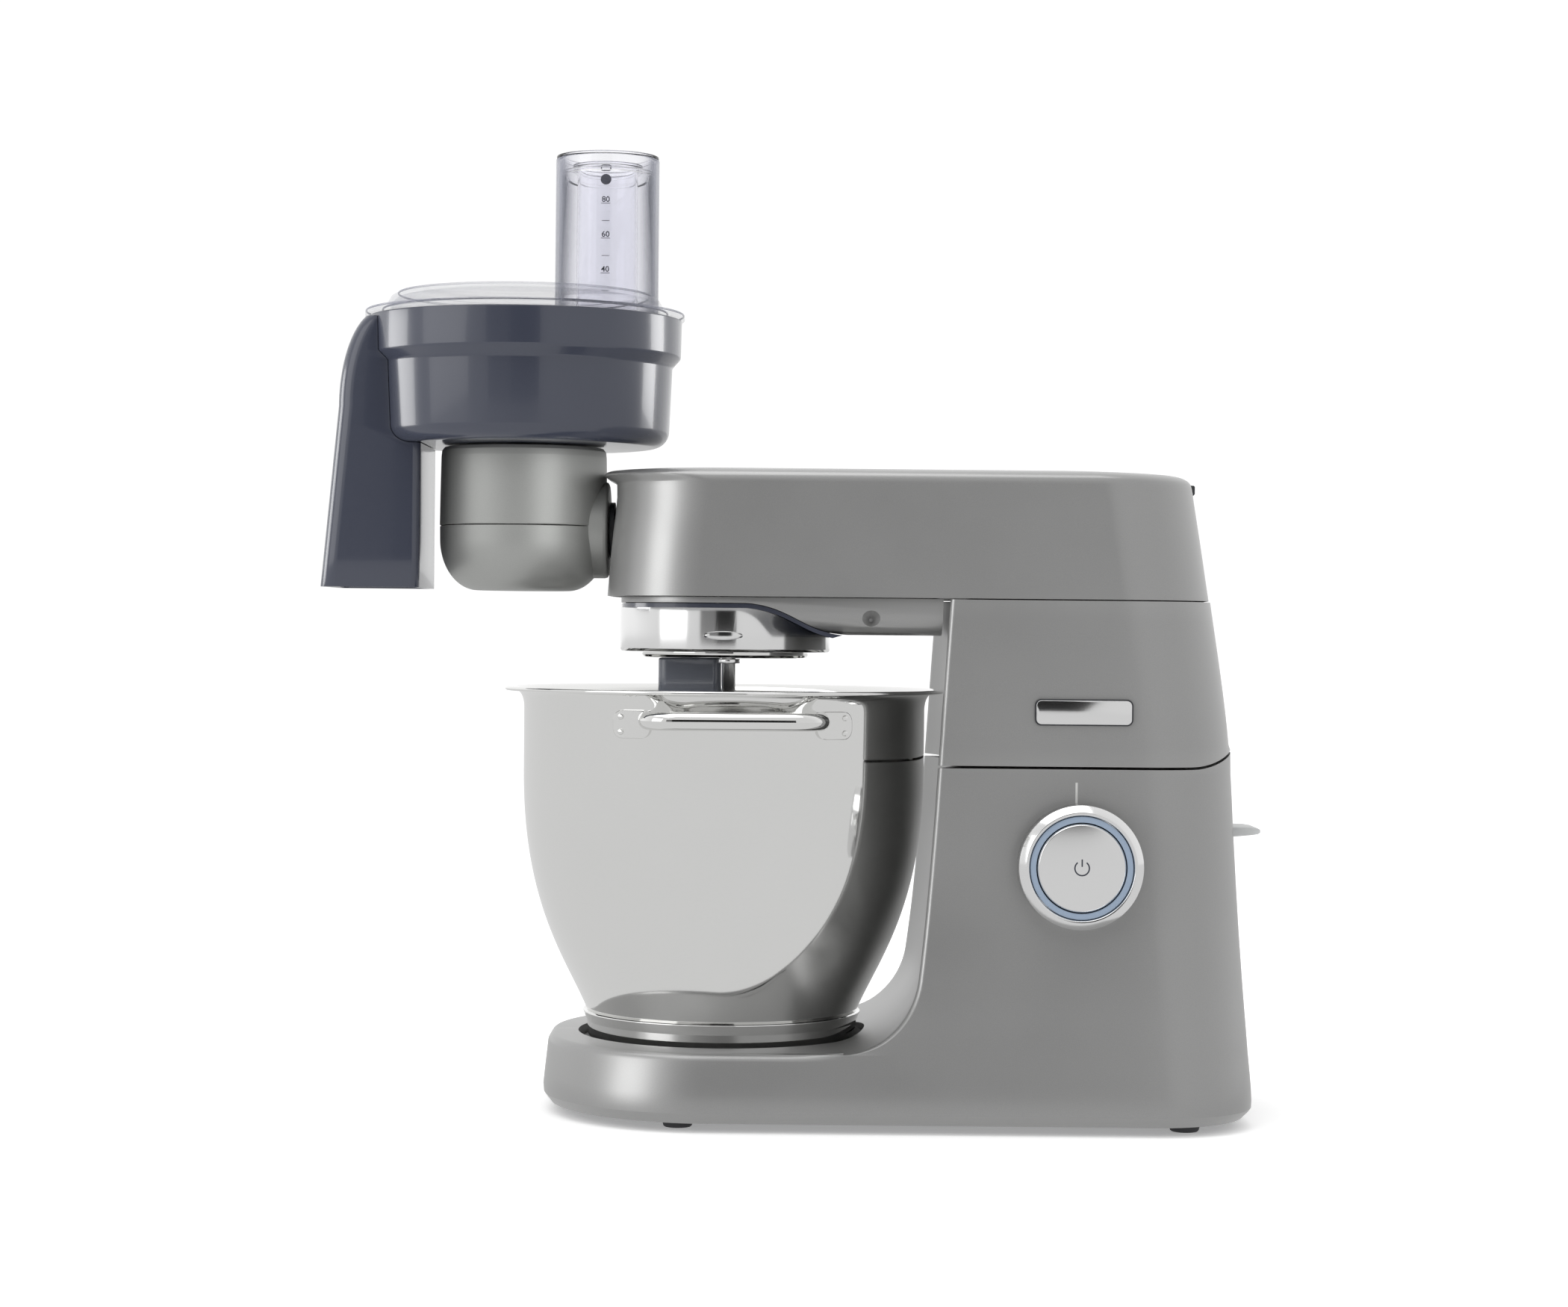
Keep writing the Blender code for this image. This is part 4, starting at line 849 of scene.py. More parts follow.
class MIXER_OT_dial(Operator):
    """Speed dial, light ring, power button and its symbol"""
    bl_idname = "mixer.dial"
    bl_label = "Dial and button"

    def execute(self, context):
        centre = (KNOB.x, 0, KNOB.z)
        profile = [(0.0290, -0.1098), (0.0294, -0.1107), (0.0308, -0.1108), (0.0346, -0.1072), (0.0348, -0.1062),
                   (0.0348, -0.0956), (0.0342, -0.0950), (0.0112, -0.0950), (0.0112, -0.0974), (0.0290, -0.0974)]
        dial = turned("speed_dial", eased(profile, 0.0007, 4), centre, "Y")
        place(dial, "knob", chrome(), "chrome", "speed_knob", sharp=45)
        ring = eased([(0.0252, -0.0994), (0.0252, -0.1093), (0.0256, -0.1096), (0.0282, -0.1096), (0.0286, -0.1093),
                      (0.0286, -0.0994)], 0.0003, 3)
        place(turned("glow_ring", ring, centre, "Y"), "base", light_ring_plastic(), "light_ring", "light_ring")
        face = [(0, -0.1015), (0.0246, -0.1015), (0.0246, -0.1092), (0.0236, -0.1102), (0, -0.1102)]
        button = turned("start_button", eased(face, 0.0006, 5), centre, "Y")
        place(button, "button", chrome(), "chrome", "power_button", sharp=45)
        self.symbol()
        return {"FINISHED"}

    def symbol(self):
        """A broken ring with a bar through its gap, slightly proud of the button."""
        front, back = -0.11028, -0.11015
        outer = arc((KNOB.x, KNOB.z), 0.0044, 128, 412, 40)
        inner = arc((KNOB.x, KNOB.z), 0.0036, 412, 128, 40)
        broken = prism_y("symbol_ring", outer + inner, front, back)
        bar = rounded(rectangle(KNOB.x - 0.0004, KNOB.x + 0.0004, KNOB.z + 0.0008, KNOB.z + 0.0050), 0.0003, 3)
        mark = merged("power_symbol", broken, prism_y("symbol_bar", bar, front, back))
        place(mark, "button", mark_ink("dark ink", (0.03, 0.035, 0.05)), "dark_plastic")


class MIXER_OT_hub(Operator):
    """Chrome hub band with its lens, turning plate, tool block and shaft"""
    bl_idname = "mixer.hub"
    bl_label = "Planetary hub"

    def execute(self, context):
        centre = (BOWL_X, 0, 0)
        section = [(0.0585, 0.2665), (0.0600, 0.2655), (0.0608, 0.2657), (HUB_RADIUS, 0.2672), (HUB_RADIUS, 0.2922),
                   (0.0612, 0.2925), (0.0585, 0.2925)]
        band = turned("hub_ring", eased(section, 0.0005, 4), centre)
        slot = arc((BOWL_X, LENS_Z), 0.0115, 0, 360, 48, stretch=0.22)[:-1]
        cut(band, prism_y("slot", slot, -0.08, -0.04))
        place(band, "head", chrome(), "chrome", "hub_band", sharp=40)
        glass = arc((BOWL_X, LENS_Z), 0.0119, 0, 360, 48, stretch=0.25)[:-1]
        rings = []
        for depth, share in ((0.0570, 0.9), (0.0598, 1.0), (0.0602, 0.93), (0.0605, 0.6), (0.0606, 0.2)):
            rings.append([(BOWL_X + (x - BOWL_X) * share, -sqrt(depth ** 2 - ((x - BOWL_X) * share) ** 2),
                           LENS_Z + (z - LENS_Z) * share) for x, z in glass])
        lens = skinned("sensor_lens", rings)
        place(lens, "head", chrome(), "dark_plastic")
        plate = [(0, 0.2620), (0.0462, 0.2620), (0.0476, 0.2623), (0.0486, 0.2636), (0.0486, 0.2685), (0.0060, 0.2685),
                 (0.0060, 0.3176), (0, 0.3176)]
        place(turned("turning_plate", eased(plate, 0.0006, 4), centre), "hub", polished_steel(), "polished_steel",
              "planet_carrier", sharp=40)
        outline = rounded(rectangle(-0.0780, -0.0412, -0.0190, 0.0190), 0.0055, 10)
        tool_block = prism_z("tool_block", outline, 0.2370, 0.2616)
        soften(tool_block, 0.0012, 4)
        # The tool block's colour holds painted light, lifted against the shade of the hub and bowl.
        place(tool_block, "hub", tool_plastic_with_painted_light(), "slate_plastic", "carrier_block")
        lower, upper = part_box("tool_shaft")
        axis = (lower + upper) / 2
        shaft = [(0, 0.2365), (0.0032, 0.2365), (0.0039, 0.2372), (0.0039, 0.2590), (0.0065, 0.2590), (0.0065, 0.2615),
                 (0.0039, 0.2615), (0.0039, 0.2835), (0, 0.2835)]
        place(turned("tool_spindle", eased(shaft, 0.0003, 3), (axis.x, axis.y, 0), steps=64), "tool", chrome(),
              "chrome", "tool_shaft", sharp=40)
        return {"FINISHED"}


def bowl_curve():
    """The bowl's outside from its floor up to the start of the rim."""
    wall = bezier((0.0790, BOWL_FLOOR + 0.0020), (0.0900, 0.0830), (0.1170, 0.1150), (0.1172, 0.1950), 40)
    return [(0.0, BOWL_FLOOR), (0.0700, BOWL_FLOOR), (0.0760, BOWL_FLOOR + 0.0006)] + wall + [(BOWL_WALL, RIM_START)]


class MIXER_OT_bowl(Operator):
    """Steel bowl with its foot and two handles"""
    bl_idname = "mixer.bowl"
    bl_label = "Bowl"

    def execute(self, context):
        outside = bowl_curve()
        thickness = 0.0012
        inside = [(max(0.0, r - thickness), z + thickness * (1.0 if r < 0.08 else 0.55)) for r, z in outside]
        rim = bezier((BOWL_WALL, RIM_START), (0.1176, 0.2390), (0.1196, 0.2430), (RIM_RADIUS, 0.2436), 16)[1:]
        roll = arc((0.1272, 0.2432), 0.0012, -70, 120, 10)
        back = bezier((RIM_RADIUS, 0.2444), (0.1196, 0.2440), (0.1165, 0.2396), (0.1162, 0.2345), 16)
        bowl = turned("steel_bowl", outside + rim + roll + back + inside[::-1], (BOWL_X, 0, 0), steps=192)
        place(bowl, "bowl", polished_steel(), "polished_steel", "mixing_bowl", sharp=40)
        foot = [(0.0745, 0.0395), (0.0773, 0.0395), (0.0778, 0.0400), (0.0782, 0.0440), (0.0790, 0.0500),
                (0.0812, 0.0554), (0.0810, 0.0560), (0.0785, 0.0545), (0.0745, 0.0534)]
        base = turned("bowl_base_ring", eased(foot, 0.0006, 4), (BOWL_X, 0, 0))
        tabs = []
        for turn in (14, 134, 254):
            outline = arc((BOWL_X, 0), 0.0620, turn, turn + 21, 12) + arc((BOWL_X, 0), 0.0755, turn + 21, turn, 12)
            tabs.append(prism_z("tab", outline, 0.0407, 0.0440))
        base = merged("bowl_base_ring", base, *tabs)
        place(base, "bowl", polished_steel(), "polished_steel", "bowl_foot", sharp=40)
        for node, turn in (("bowl_handle_near", pi), ("bowl_handle_far", 0.0)):
            self.handle(node, turn + BOWL_TURN)
        return {"FINISHED"}

    def handle(self, node, turn):
        """A bent bar, two plates that follow the wall, and two rivets in each."""
        half, out, bend, bar = 0.0480, 0.1312, 0.0155, 0.0050
        path = [(half, 0.1020), (half, 0.1100)] + arc((half - bend, out - bend), bend, 0, 90, 14)
        path = path + [(-u, v) for u, v in reversed(path)]
        rings = []
        for i, (u, v) in enumerate(path):
            after, before = path[min(i + 1, len(path) - 1)], path[max(i - 1, 0)]
            along = Vector((after[0] - before[0], after[1] - before[1])).normalized()
            rings.append([(u - bar * cos(a) * along.y, v + bar * cos(a) * along.x, HANDLE_Z + bar * sin(a))
                          for a in (2 * pi * k / 28 for k in range(28))])
        tube = skinned("bar", rings)
        cut(tube, rod("keep", BOWL_WALL + 0.0003, 0.2, 0.26, (0, 0, 0), steps=192))
        parts, plate_z = [], HANDLE_Z - 0.0025
        for side in (-1, 1):
            middle = side * asin(0.0568 / HANDLE_PLATE_RADIUS)
            outline = rounded(rectangle(-0.0115, 0.0115, -0.0078, 0.0078), 0.0058, 8)
            rings = []
            for radius, share in ((0.1172, 1.0), (HANDLE_PLATE_RADIUS, 1.0), (0.1194, 0.96)):
                turns = [middle + share * x / HANDLE_PLATE_RADIUS for x, _ in outline]
                rings.append([(radius * sin(turn), radius * cos(turn), plate_z + share * z)
                              for turn, (_, z) in zip(turns, outline)])
            parts.append(skinned("plate", rings))
            for height in (-0.0042, 0.0042):
                head = turned("rivet", [(0, 0.1188), (0.0017, 0.1188), (0.0017, 0.1196), (0.0012, 0.1202),
                                        (0, 0.1204)], (0, 0, 0), "Y", 20)
                angle = middle + side * 0.0062 / HANDLE_PLATE_RADIUS
                head.data.transform(Matrix.Translation((0, 0, plate_z + height)) @ Matrix.Rotation(-angle, 4, "Z"))
                parts.append(head)
        grip = merged(node + "_bar", tube, *parts)
        grip.data.transform(Matrix.Translation((BOWL_X, 0, 0)) @ Matrix.Rotation(turn, 4, "Z"))
        place(grip, "bowl", polished_steel(), "polished_steel", node, sharp=40)


class MIXER_OT_gearbox(Operator):
    """Slicer's gearbox in two halves, its boss and the drive tail"""
    bl_idname = "mixer.gearbox"
    bl_label = "Slicer gearbox"

    def execute(self, context):
        centre, seam = (DISH_X, 0, 0), 0.3378
        upper = [(0.0460, seam), (0.0487, seam), (0.0490, seam + 0.0004), (0.0488, 0.3560), (0.0484, 0.3780),
                 (0.0480, 0.3815), (0.0466, 0.3835), (0.0085, 0.3835), (0.0085, 0.3805), (0.0454, 0.3805)]
        swell = arc((0.0265, 0.3300), 0.0223, 0, -90, 30, stretch=1.345)
        inside = arc((0.0265, 0.3300), 0.0193, -90, 0, 12, stretch=1.40)
        lower = [(0.0485, seam - 0.0004), (0.0489, seam - 0.0007)] + swell + [(0, swell[-1][1])]
        lower += [(0, inside[0][1])] + inside + [(0.0458, seam - 0.0004)]
        split = lower.index((0, swell[-1][1]))
        lower = lower[split + 1:] + lower[:split + 1]
        for name, profile, node in (("gearbox_top", eased(upper, 0.0008, 4), "gear_housing_upper"),
                                    ("gearbox_cup", lower, "gear_housing_lower")):
            half = turned(name, profile, centre)
            cut(half, rod("gate", 0.0285, -0.1400, -0.1000, (0, 0, OUTLET_Z), "X", 96))
            place(half, "head", titanium_paint(), "titanium_paint", node)
        boss = [(0.0283, -0.1380), (0.0283, -0.1105), (0.0278, -0.1088), (0.0262, -0.1080), (0.0075, -0.1080),
                (0.0075, -0.1110), (0.0253, -0.1110), (0.0253, -0.1380)]
        axle = (0, 0, OUTLET_Z)
        place(turned("gearbox_boss", eased(boss, 0.0008, 4), axle, "X"), "head", titanium_paint(), "titanium_paint",
              "drive_boss")
        collar = eased([(0.0130, -0.1076), (0.0163, -0.1076), (0.0163, -0.1046), (0.0130, -0.1046)], 0.0003, 3)
        place(turned("collar", collar, axle, "X", 64), "head", dark_plastic(), "dark_plastic", "lock_ring")
        tail = eased([(0.0068, -0.1076), (0.0126, -0.1076), (0.0126, -0.0900), (0.0068, -0.0900)], 0.0003, 3)
        place(turned("tail_tube", tail, axle, "X", 64), "head", chrome(), "chrome", "drive_tail")
        socket = eased([(0.0131, -0.1030), (0.0196, -0.1030), (0.0196, -0.0800), (0.0131, -0.0800)], 0.0004, 3)
        place(turned("outlet_bush", socket, axle, "X", 64), "head", dark_plastic(), "dark_plastic", "outlet_socket")
        return {"FINISHED"}


def dish_outside(grow, fine=14):
    """The dish's outer section from its bottom edge to its rim."""
    foot = arc((DISH_LOWER_RADIUS - 0.0115, DISH_LOW + 0.0100), 0.0100 + grow, -90, -5, fine)
    step = eased([foot[-1], (DISH_LOWER_RADIUS + grow, DISH_STEP - 0.0055),
                  (DISH_UPPER_RADIUS - 0.0005 + grow, DISH_STEP), (DISH_UPPER_RADIUS + grow, DISH_TOP)], 0.0030, 6)
    return foot + step[1:]


def chute_section(inset, z):
    """The chute's rounded rectangle at a height; its outer wall curves in to the rim."""
    knee = 0.4050
    left = CHUTE_LEFT + 0.0096 * (min(z, knee) - CHUTE_LOW) / (knee - CHUTE_LOW)
    if z > knee:
        left += 0.0240 * (1 - sqrt(max(0.0, 1 - ((z - knee) / 0.0560) ** 2)))
    corners = rectangle(left + inset, CHUTE_RIGHT - inset, inset - CHUTE_HALF, CHUTE_HALF - inset)
    return rounded(corners, [0.0100 - inset, 0.0050 - inset, 0.0050 - inset, 0.0100 - inset], 8)


class MIXER_OT_slicer(Operator):
    """Slicer's dish, discharge chute, disc and disc hub"""
    bl_idname = "mixer.slicer"
    bl_label = "Slicer dish and chute"

    def execute(self, context):
        centre, wall = (DISH_X, 0, 0), sizes().moulded_wall
        outside = dish_outside(0.0)
        inside = [(r, z + (wall if z < DISH_LOW + 0.002 else 0)) for r, z in dish_outside(-wall)]
        rim = [(DISH_UPPER_RADIUS, DISH_TOP), (DISH_UPPER_RADIUS - wall, DISH_TOP)]
        profile = [(0.0085, DISH_LOW)] + outside[:-1] + eased([outside[-2]] + rim + [inside[-2]], 0.0008, 4)[1:-1]
        profile += inside[:-1][::-1] + [(0.0085, DISH_LOW + wall)]
        dish = turned("slicer_bowl", profile, centre)
        cut(dish, block("window", (-0.27, -0.0350, 0.3960), (-0.225, 0.0350, 0.4460)))
        place(dish, "head", slate_plastic(), "slate_plastic", "slicer_dish")
        levels = [CHUTE_LOW, 0.3200, 0.3500, 0.3800, 0.3950, 0.4050]
        levels += [0.4050 + 0.0520 * k / 16 for k in range(1, 17)]
        outer = skinned("discharge_spout", [[(x, y, z) for x, y in chute_section(0.0, z)] for z in levels])
        inner = skinned("inner", [[(x, y, z) for x, y in chute_section(wall, z)]
                                  for z in [CHUTE_LOW - 0.01] + levels[1:-2] + [0.4545]])
        zone = turned("zone", [(0, DISH_LOW - 0.0004)] + dish_outside(0.0004) + [(0, DISH_TOP)], centre)
        cut(outer, inner, zone)
        soften(outer, 0.0005, 2, 55)
        place(outer, "head", slate_plastic(), "slate_plastic", "discharge_chute")
        self.disc()
        return {"FINISHED"}

    def disc(self):
        """The steel disc with its blade slot, on the moulded hub."""
        plate = turned("cutting_disc", [(0, 0.4500), (0.0834, 0.4500), (0.0840, 0.4504), (0.0840, 0.4511),
                                        (0.0834, 0.4515), (0, 0.4515)], (DISH_X, 0, 0))
        slot = rounded(rectangle(DISH_X - 0.0730, DISH_X - 0.0180, -0.0030, 0.0030), 0.0028, 6)
        cut(plate, prism_z("slot", slot, 0.44, 0.46))
        place(plate, "disc", polished_steel(), "polished_steel", "slicing_disc")
        hub = eased([(0.0062, 0.3960), (0.0110, 0.3960), (0.0110, 0.4496), (0, 0.4496)], 0.0006, 4)
        hub += [(0, 0.4405), (0.0062, 0.4405)]
        split = hub.index((0, 0.4405))
        place(turned("disc_boss", hub[split:] + hub[:split], (DISH_X, 0, 0), steps=64), "disc", slate_plastic(),
              "slate_plastic", "disc_hub")


class MIXER_OT_lid(Operator):
    """Clear lid, feed tube, two nested pushers and the measuring marks"""
    bl_idname = "mixer.lid"
    bl_label = "Lid, tube and pushers"

    def execute(self, context):
        low = DISH_TOP + 0.0004
        dome = [(0, 0.4736), (0.0600, 0.4736), (0.0612, 0.4742), (0.0690, 0.4742), (0.0745, 0.4732), (0.0785, 0.4712),
                (0.0803, 0.4680), (0.0820, 0.4628),
                (0.0835, low + 0.0030), (0.0905, low + 0.0022), (0.0915, low + 0.0032), (0.0932, low + 0.0030),
                (0.0937, low + 0.0018), (0.0937, low + 0.0004),
                (0.0933, low), (0.0800, low), (0.0800, low + 0.0010), (0.0782, 0.4672), (0.0745, 0.4703),
                (0.0685, 0.4716), (0, 0.4716)]
        lid = turned("clear_lid", eased(dome, 0.0012, 3), (DISH_X, 0, 0))
        cut(lid, rod("hole", TUBE_RADIUS + 0.0004, 0.45, 0.48, (TUBE_X, 0, 0)))
        place(lid, "lid", clear_shell("clear lid", 0.26), "clear_plastic", "slicer_lid", sharp=40)
        beads = [turned("bead", [(radius + 0.0006 * cos(a), z + 0.0006 * sin(a)) for a in
                                 (2 * pi * k / 10 for k in range(10))], (DISH_X, 0, 0), steps=160)
                 for radius, z in ((0.0742, 0.4730), (0.0928, low + 0.0030), (0.0832, low + 0.0040))]
        place(merged("lid_beads", *beads), "lid", clear_shell(), "clear_plastic")
        tube = (TUBE_X, 0, 0)
        wall = [(TUBE_RADIUS - 0.0020, 0.4560), (TUBE_RADIUS, 0.4560), (TUBE_RADIUS, TUBE_TOP),
                (TUBE_RADIUS - 0.0020, TUBE_TOP)]
        place(turned("feeding_tube", eased(wall, 0.0005, 3), tube), "lid", clear_shell(), "clear_plastic",
              "feed_tube", sharp=40)
        bottom, top = 0.4580, TUBE_TOP + 0.0004
        outer = [(0.0186, bottom), (0.0270, bottom), (0.0270, top), (0.0300, top), (0.0300, top + 0.0016),
                 (0.0255, top + 0.0016), (0.0255, top - 0.0072), (0.0244, top - 0.0076), (0.0244, top - 0.0088),
                 (0.0255, top - 0.0094), (0.0255, bottom + 0.0015), (0.0186, bottom + 0.0015)]
        place(turned("large_pusher", eased(outer, 0.0004, 3), tube), "pusher", clear_core(), "clear_plastic",
              "pusher", sharp=40)
        small = [(0, bottom), (0.0180, bottom), (0.0180, 0.5484), (0.0205, 0.5484), (0.0205, 0.5500),
                 (0.0168, 0.5500), (0.0168, bottom + 0.0015), (0, bottom + 0.0015)]
        place(turned("measuring_pusher", eased(small, 0.0003, 3), tube), "small_pusher", clear_core(),
              "clear_plastic", "small_pusher", sharp=40)
        self.marks()
        return {"FINISHED"}

    def marks(self):
        """Dark lines a unit apart, numbers at every second one, and a round dot above."""
        front, back = -0.01835, -0.01815
        pieces = []
        for number in range(6):
            z = 0.5262 - 0.01024 * number
            half = 0.0026 if number % 2 == 0 else 0.0022
            pieces.append(prism_y("line", rectangle(TUBE_X - half, TUBE_X + half, z - 0.00016, z + 0.00016),
                                  front, back))
            if number % 2 == 0:
                pieces.append(self.number(str(80 - 10 * number), z + 0.0008, front, back))
        dot = rod("dot", 0.0031, front, back, (TUBE_X, 0, 0.5402), "Y", 32)
        clip = prism_y("clip", rounded(rectangle(TUBE_X - 0.0030, TUBE_X + 0.0030, 0.5450, 0.5482), 0.0015, 6),
                       front, back)
        inner = rounded(rectangle(TUBE_X - 0.0024, TUBE_X + 0.0024, 0.5456, 0.5476), 0.0010, 6)
        cut(clip, prism_y("inner", inner, front - 0.001, back + 0.001))
        marks = merged("measuring_marks", *pieces, dot, clip)
        place(marks, "small_pusher", mark_ink("scale ink", (0.05, 0.05, 0.07)), "clear_plastic")

    def number(self, text, z, front, back):
        activate(None)
        bpy.ops.object.text_add()
        letters = bpy.context.object
        letters.data.body = text
        letters.data.size = 0.0047
        letters.data.offset = 0.00007
        letters.data.align_x = "CENTER"
        letters.data.extrude = (back - front) / 2
        letters.data.resolution_u = 3
        bpy.ops.object.convert(target="MESH")
        letters.data.transform(Matrix.Translation((TUBE_X, (front + back) / 2, z)) @ Matrix.Rotation(pi / 2, 4, "X"))
        return letters


class MIXER_OT_fittings(Operator):
    """Release lever, rubber feet and the cord's bushing"""
    bl_idname = "mixer.fittings"
    bl_label = "Lever, feet and bushing"

    def execute(self, context):
        x, z = 0.2360, 0.1630
        stations = [(-0.006, 0.0170, -0.0060, 0.0060), (0.000, 0.0190, -0.0050, 0.0052),
                    (0.010, 0.0197, -0.0030, 0.0035),
                    (0.022, 0.0200, -0.0022, 0.0033), (0.032, 0.0195, -0.0013, 0.0031),
                    (0.0360, 0.0180, -0.0008, 0.0026),
                    (0.0374, 0.0165, 0.0000, 0.0018)]
        rings = []
        for reach, half, low, high in stations:
            outline = rounded(rectangle(-half, half, z + low, z + high), 0.0014, 6)
            rings.append([(x + reach, y, height) for y, height in outline])
        tab = skinned("release_tab", rings)
        lever = merged("release_lever", tab, rod("axle", 0.0050, -0.0300, 0.0300, (x, 0, z), "Y", 32))
        place(lever, "lever", lever_plastic(), "lever_grey", "lift_lever")
        for node in ("foot_front_near", "foot_front_far", "foot_rear_near", "foot_rear_far"):
            lower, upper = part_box(node)
            middle = (lower + upper) / 2
            profile = [(0, 0), (0.0074, 0), (0.0080, 0.0006), (0.0092, 0.0047), (0, 0.0047)]
            foot = turned("rubber_" + node, eased(profile, 0.0005, 4), (middle.x, middle.y, 0), steps=48)
            place(foot, "base", rubber(), "rubber", node)
        bush = [(0.0035, 0.2530), (0.0072, 0.2530), (0.0072, 0.2628), (0.0095, 0.2628), (0.0095, 0.2652),
                (0.0080, 0.2662), (0.0042, 0.2668), (0.0035, 0.2662)]
        bush = turned("cord_bushing", eased(bush, 0.0004, 3), (0, 0.03, 0.03), "X", 48)
        place(bush, "base", rubber(), "rubber", "cord_gland")
        return {"FINISHED"}


class MIXER_OT_inner_parts(Operator):
    """Finishes for the drive, hinge and latch, which keep the frame's own shapes"""
    bl_idname = "mixer.inner_parts"
    bl_label = "Inner parts"

    def execute(self, context):
        groups = {
            machined_steel: ("hinge_cheek_near", "hinge_cheek_far", "hinge_pin", "head_chassis", "latch_striker",
                             "latch_bolt", "ring_gear", "planet_gear", "drive_gear", "outlet_drive_gear",
                             "outlet_shaft", "slicer_input_shaft", "slicer_spindle", "layshaft", "motor_rotor"),
            dark_plastic: ("base_plate", "bowl_seat", "button_core"),
            rubber: ("drive_belt",),
            copper_winding: ("motor_stator",),
            polished_steel: ("slicing_blade",),
        }
        for make, nodes in groups.items():
            for node in nodes:
                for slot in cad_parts[node].material_slots:
                    slot.material = make()
        return {"FINISHED"}


class MIXER_OT_stage(Operator):
    """Pale floor, soft studio light and the camera"""
    bl_idname = "mixer.stage"
    bl_label = "Stage"

    def execute(self, context):
        stage = context.scene.mixer_stage
        context.scene.view_settings.view_transform = "Standard"
        activate(None)
        bpy.ops.mesh.primitive_plane_add(size=40)
        floor = bpy.context.object
        floor.name = "floor"
        paper = bpy.data.materials.new("pale paper")
        paper.use_nodes = True
        shader = paper.node_tree.nodes["Principled BSDF"]
        shader.inputs["Base Color"].default_value = (0.90, 0.90, 0.90, 1)
        shader.inputs["Roughness"].default_value = 0.9
        shader.inputs["Specular IOR Level"].default_value = 0.1
        shader.inputs["Emission Color"].default_value = (1, 1, 1, 1)
        shader.inputs["Emission Strength"].default_value = stage.floor_glow
        tree = paper.node_tree
        path, mirrored, either = (tree.nodes.new(kind) for kind in
                                  ("ShaderNodeLightPath", "ShaderNodeEmission", "ShaderNodeMixShader"))
        mirrored.inputs["Strength"].default_value = stage.floor_in_mirrors
        link_chain(tree, (path, "Is Glossy Ray"), (either, 0), (shader, "BSDF"), (either, 1),
                   (mirrored, "Emission"), (either, 2), (either, "Shader"), (tree.nodes["Material Output"], "Surface"))
        floor.data.materials.append(paper)
        floor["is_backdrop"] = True
        self.softbox("key light", (-0.35, -0.20, 1.9), (0, 0, 0.2), 1.6, stage.key_power)
        self.softbox("fill light", (-1.9, -1.2, 0.9), (0, 0, 0.25), 1.4, stage.fill_power)
        self.band("paint band", (-1.75, -1.25, 0.45), 0.9, stage.band_power * 0.8, "silver paint")
        self.band("left band", (-2.10, 0.35, 0.45), 0.8, stage.band_power, "slate plastic")
        self.band("right band", (1.30, 0.70, 0.60), 0.5, stage.band_power * 0.5, "slate plastic")
        self.band("gearbox band", (0.82, -1.26, 0.55), 0.9, stage.band_power * 0.7, "titanium paint")
        self.flag("dark card", -0.40, 0.46, 0.004)
        self.flag("grey card", -1.15, -0.40, 0.16)
        self.room(stage)
        self.camera(context, stage)
        return {"FINISHED"}

    def softbox(self, name, location, target, size, power):
        light = bpy.data.lights.new(name, "AREA")
        light.shape = "SQUARE"
        light.size = size
        light.energy = power
        lamp = bpy.data.objects.new(name, light)
        lamp.location = location
        lamp.rotation_euler = (Vector(target) - Vector(location)).to_track_quat("-Z", "Y").to_euler()
        bpy.context.scene.collection.objects.link(lamp)
        return lamp

    def band(self, name, location, size, power, *finishes):
        """A side light that only pieces of the named finishes receive."""
        lamp = self.softbox(name, location, (-0.10, 0, 0.40), size, power)
        group = bpy.data.collections.new(name)
        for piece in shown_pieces():
            if piece.type == "MESH" and set(finishes) & {m.name for m in piece.data.materials if m}:
                group.objects.link(piece)
        lamp.light_linking.receiver_collection = group

    def flag(self, name, left, right, shade):
        """A card behind the camera that puts a soft dark band into the chrome and paint."""
        outline = rounded(rectangle(left, right, CARD_LOW, CARD_HIGH), 0.02, 4)
        card = prism_y(name, outline, CARD_Y, CARD_Y + 0.01)
        felt = bpy.data.materials.new(name)
        felt.use_nodes = True
        shader = felt.node_tree.nodes["Principled BSDF"]
        shader.inputs["Base Color"].default_value = (shade, shade, shade, 1)
        shader.inputs["Roughness"].default_value = 1.0
        card.data.materials.append(felt)
        card.visible_camera = card.visible_diffuse = card.visible_shadow = False
        card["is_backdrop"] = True

    def room(self, stage):
        """A room that is white behind the mixer and greyer in front of it."""
        world = bpy.data.worlds.new("studio")
        bpy.context.scene.world = world
        world.use_nodes = True
        tree = world.node_tree
        background = tree.nodes["Background"]
        where = tree.nodes.new("ShaderNodeTexCoord")
        split = tree.nodes.new("ShaderNodeSeparateXYZ")
        shade = tree.nodes.new("ShaderNodeMapRange")
        shade.inputs["From Min"].default_value = -0.35
        shade.inputs["From Max"].default_value = 0.45
        shade.inputs["To Min"].default_value = stage.room
        shade.inputs["To Max"].default_value = stage.backdrop
        tree.links.new(where.outputs["Generated"], split.inputs["Vector"])
        tree.links.new(split.outputs["Y"], shade.inputs["Value"])
        tree.links.new(shade.outputs["Result"], background.inputs["Strength"])
        background.inputs["Color"].default_value = (1, 1, 1, 1)

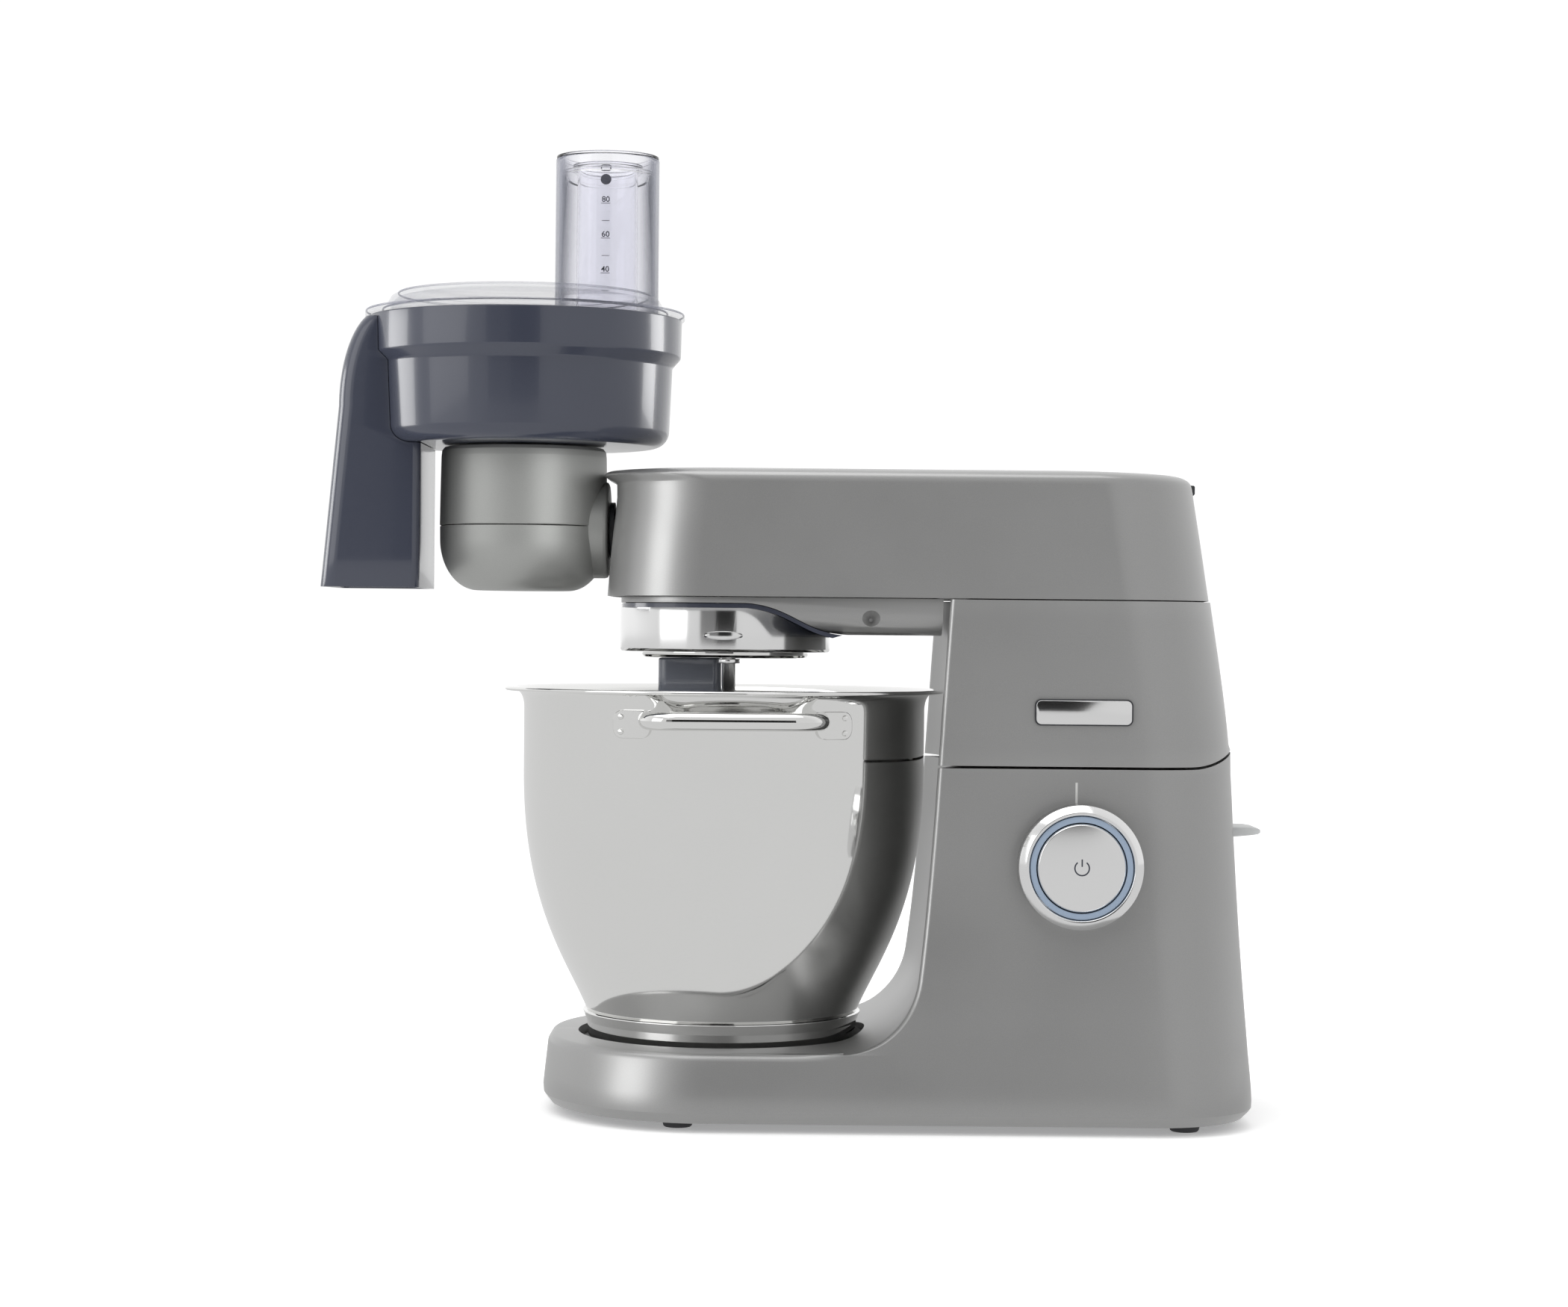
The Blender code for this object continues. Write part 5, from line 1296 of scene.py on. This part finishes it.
    def camera(self, context, stage):
        view = bpy.data.cameras.new("camera")
        view.lens = stage.focal_length
        view.sensor_width = 36.0
        view.shift_y = CAMERA_SHIFT
        camera = bpy.data.objects.new("camera", view)
        camera.matrix_world = (Matrix.Translation(CAMERA_PLACE) @ Matrix.Rotation(CAMERA_ROLL, 4, "Y")
                               @ Matrix.Rotation(pi / 2, 4, "X"))
        context.scene.collection.objects.link(camera)
        context.scene.camera = camera


PIECE_OPERATORS = (MIXER_OT_base, MIXER_OT_middle, MIXER_OT_head, MIXER_OT_underside, MIXER_OT_dial, MIXER_OT_hub,
                   MIXER_OT_bowl, MIXER_OT_gearbox, MIXER_OT_slicer, MIXER_OT_lid, MIXER_OT_fittings,
                   MIXER_OT_inner_parts, MIXER_OT_stage)


class MIXER_PT_panel(Panel):
    """Lists the mixer's pieces and settings"""
    bl_idname = "MIXER_PT_panel"
    bl_label = "Mixer"
    bl_space_type = "VIEW_3D"
    bl_region_type = "UI"
    bl_category = "Mixer"

    def draw(self, context):
        for operator in PIECE_OPERATORS:
            self.layout.operator(operator.bl_idname)
        for group in (context.scene.mixer_sizes, context.scene.mixer_colours, context.scene.mixer_stage):
            box = self.layout.box()
            for name in group.__annotations__:
                box.prop(group, name)


CLASSES = (MixerSizes, MixerColours, MixerStage) + PIECE_OPERATORS + (MIXER_PT_panel,)


def register():
    for item in CLASSES:
        bpy.utils.register_class(item)
    bpy.types.Scene.mixer_sizes = PointerProperty(type=MixerSizes)
    bpy.types.Scene.mixer_colours = PointerProperty(type=MixerColours)
    bpy.types.Scene.mixer_stage = PointerProperty(type=MixerStage)


def unregister():
    del bpy.types.Scene.mixer_stage
    del bpy.types.Scene.mixer_colours
    del bpy.types.Scene.mixer_sizes
    for item in reversed(CLASSES):
        bpy.utils.unregister_class(item)


def main():
    register()
    for step in (bpy.ops.mixer.base, bpy.ops.mixer.middle, bpy.ops.mixer.head, bpy.ops.mixer.underside,
                 bpy.ops.mixer.dial, bpy.ops.mixer.hub, bpy.ops.mixer.bowl, bpy.ops.mixer.gearbox,
                 bpy.ops.mixer.slicer, bpy.ops.mixer.lid, bpy.ops.mixer.fittings, bpy.ops.mixer.inner_parts,
                 bpy.ops.mixer.stage):
        step()


if __name__ == "__main__":
    main()
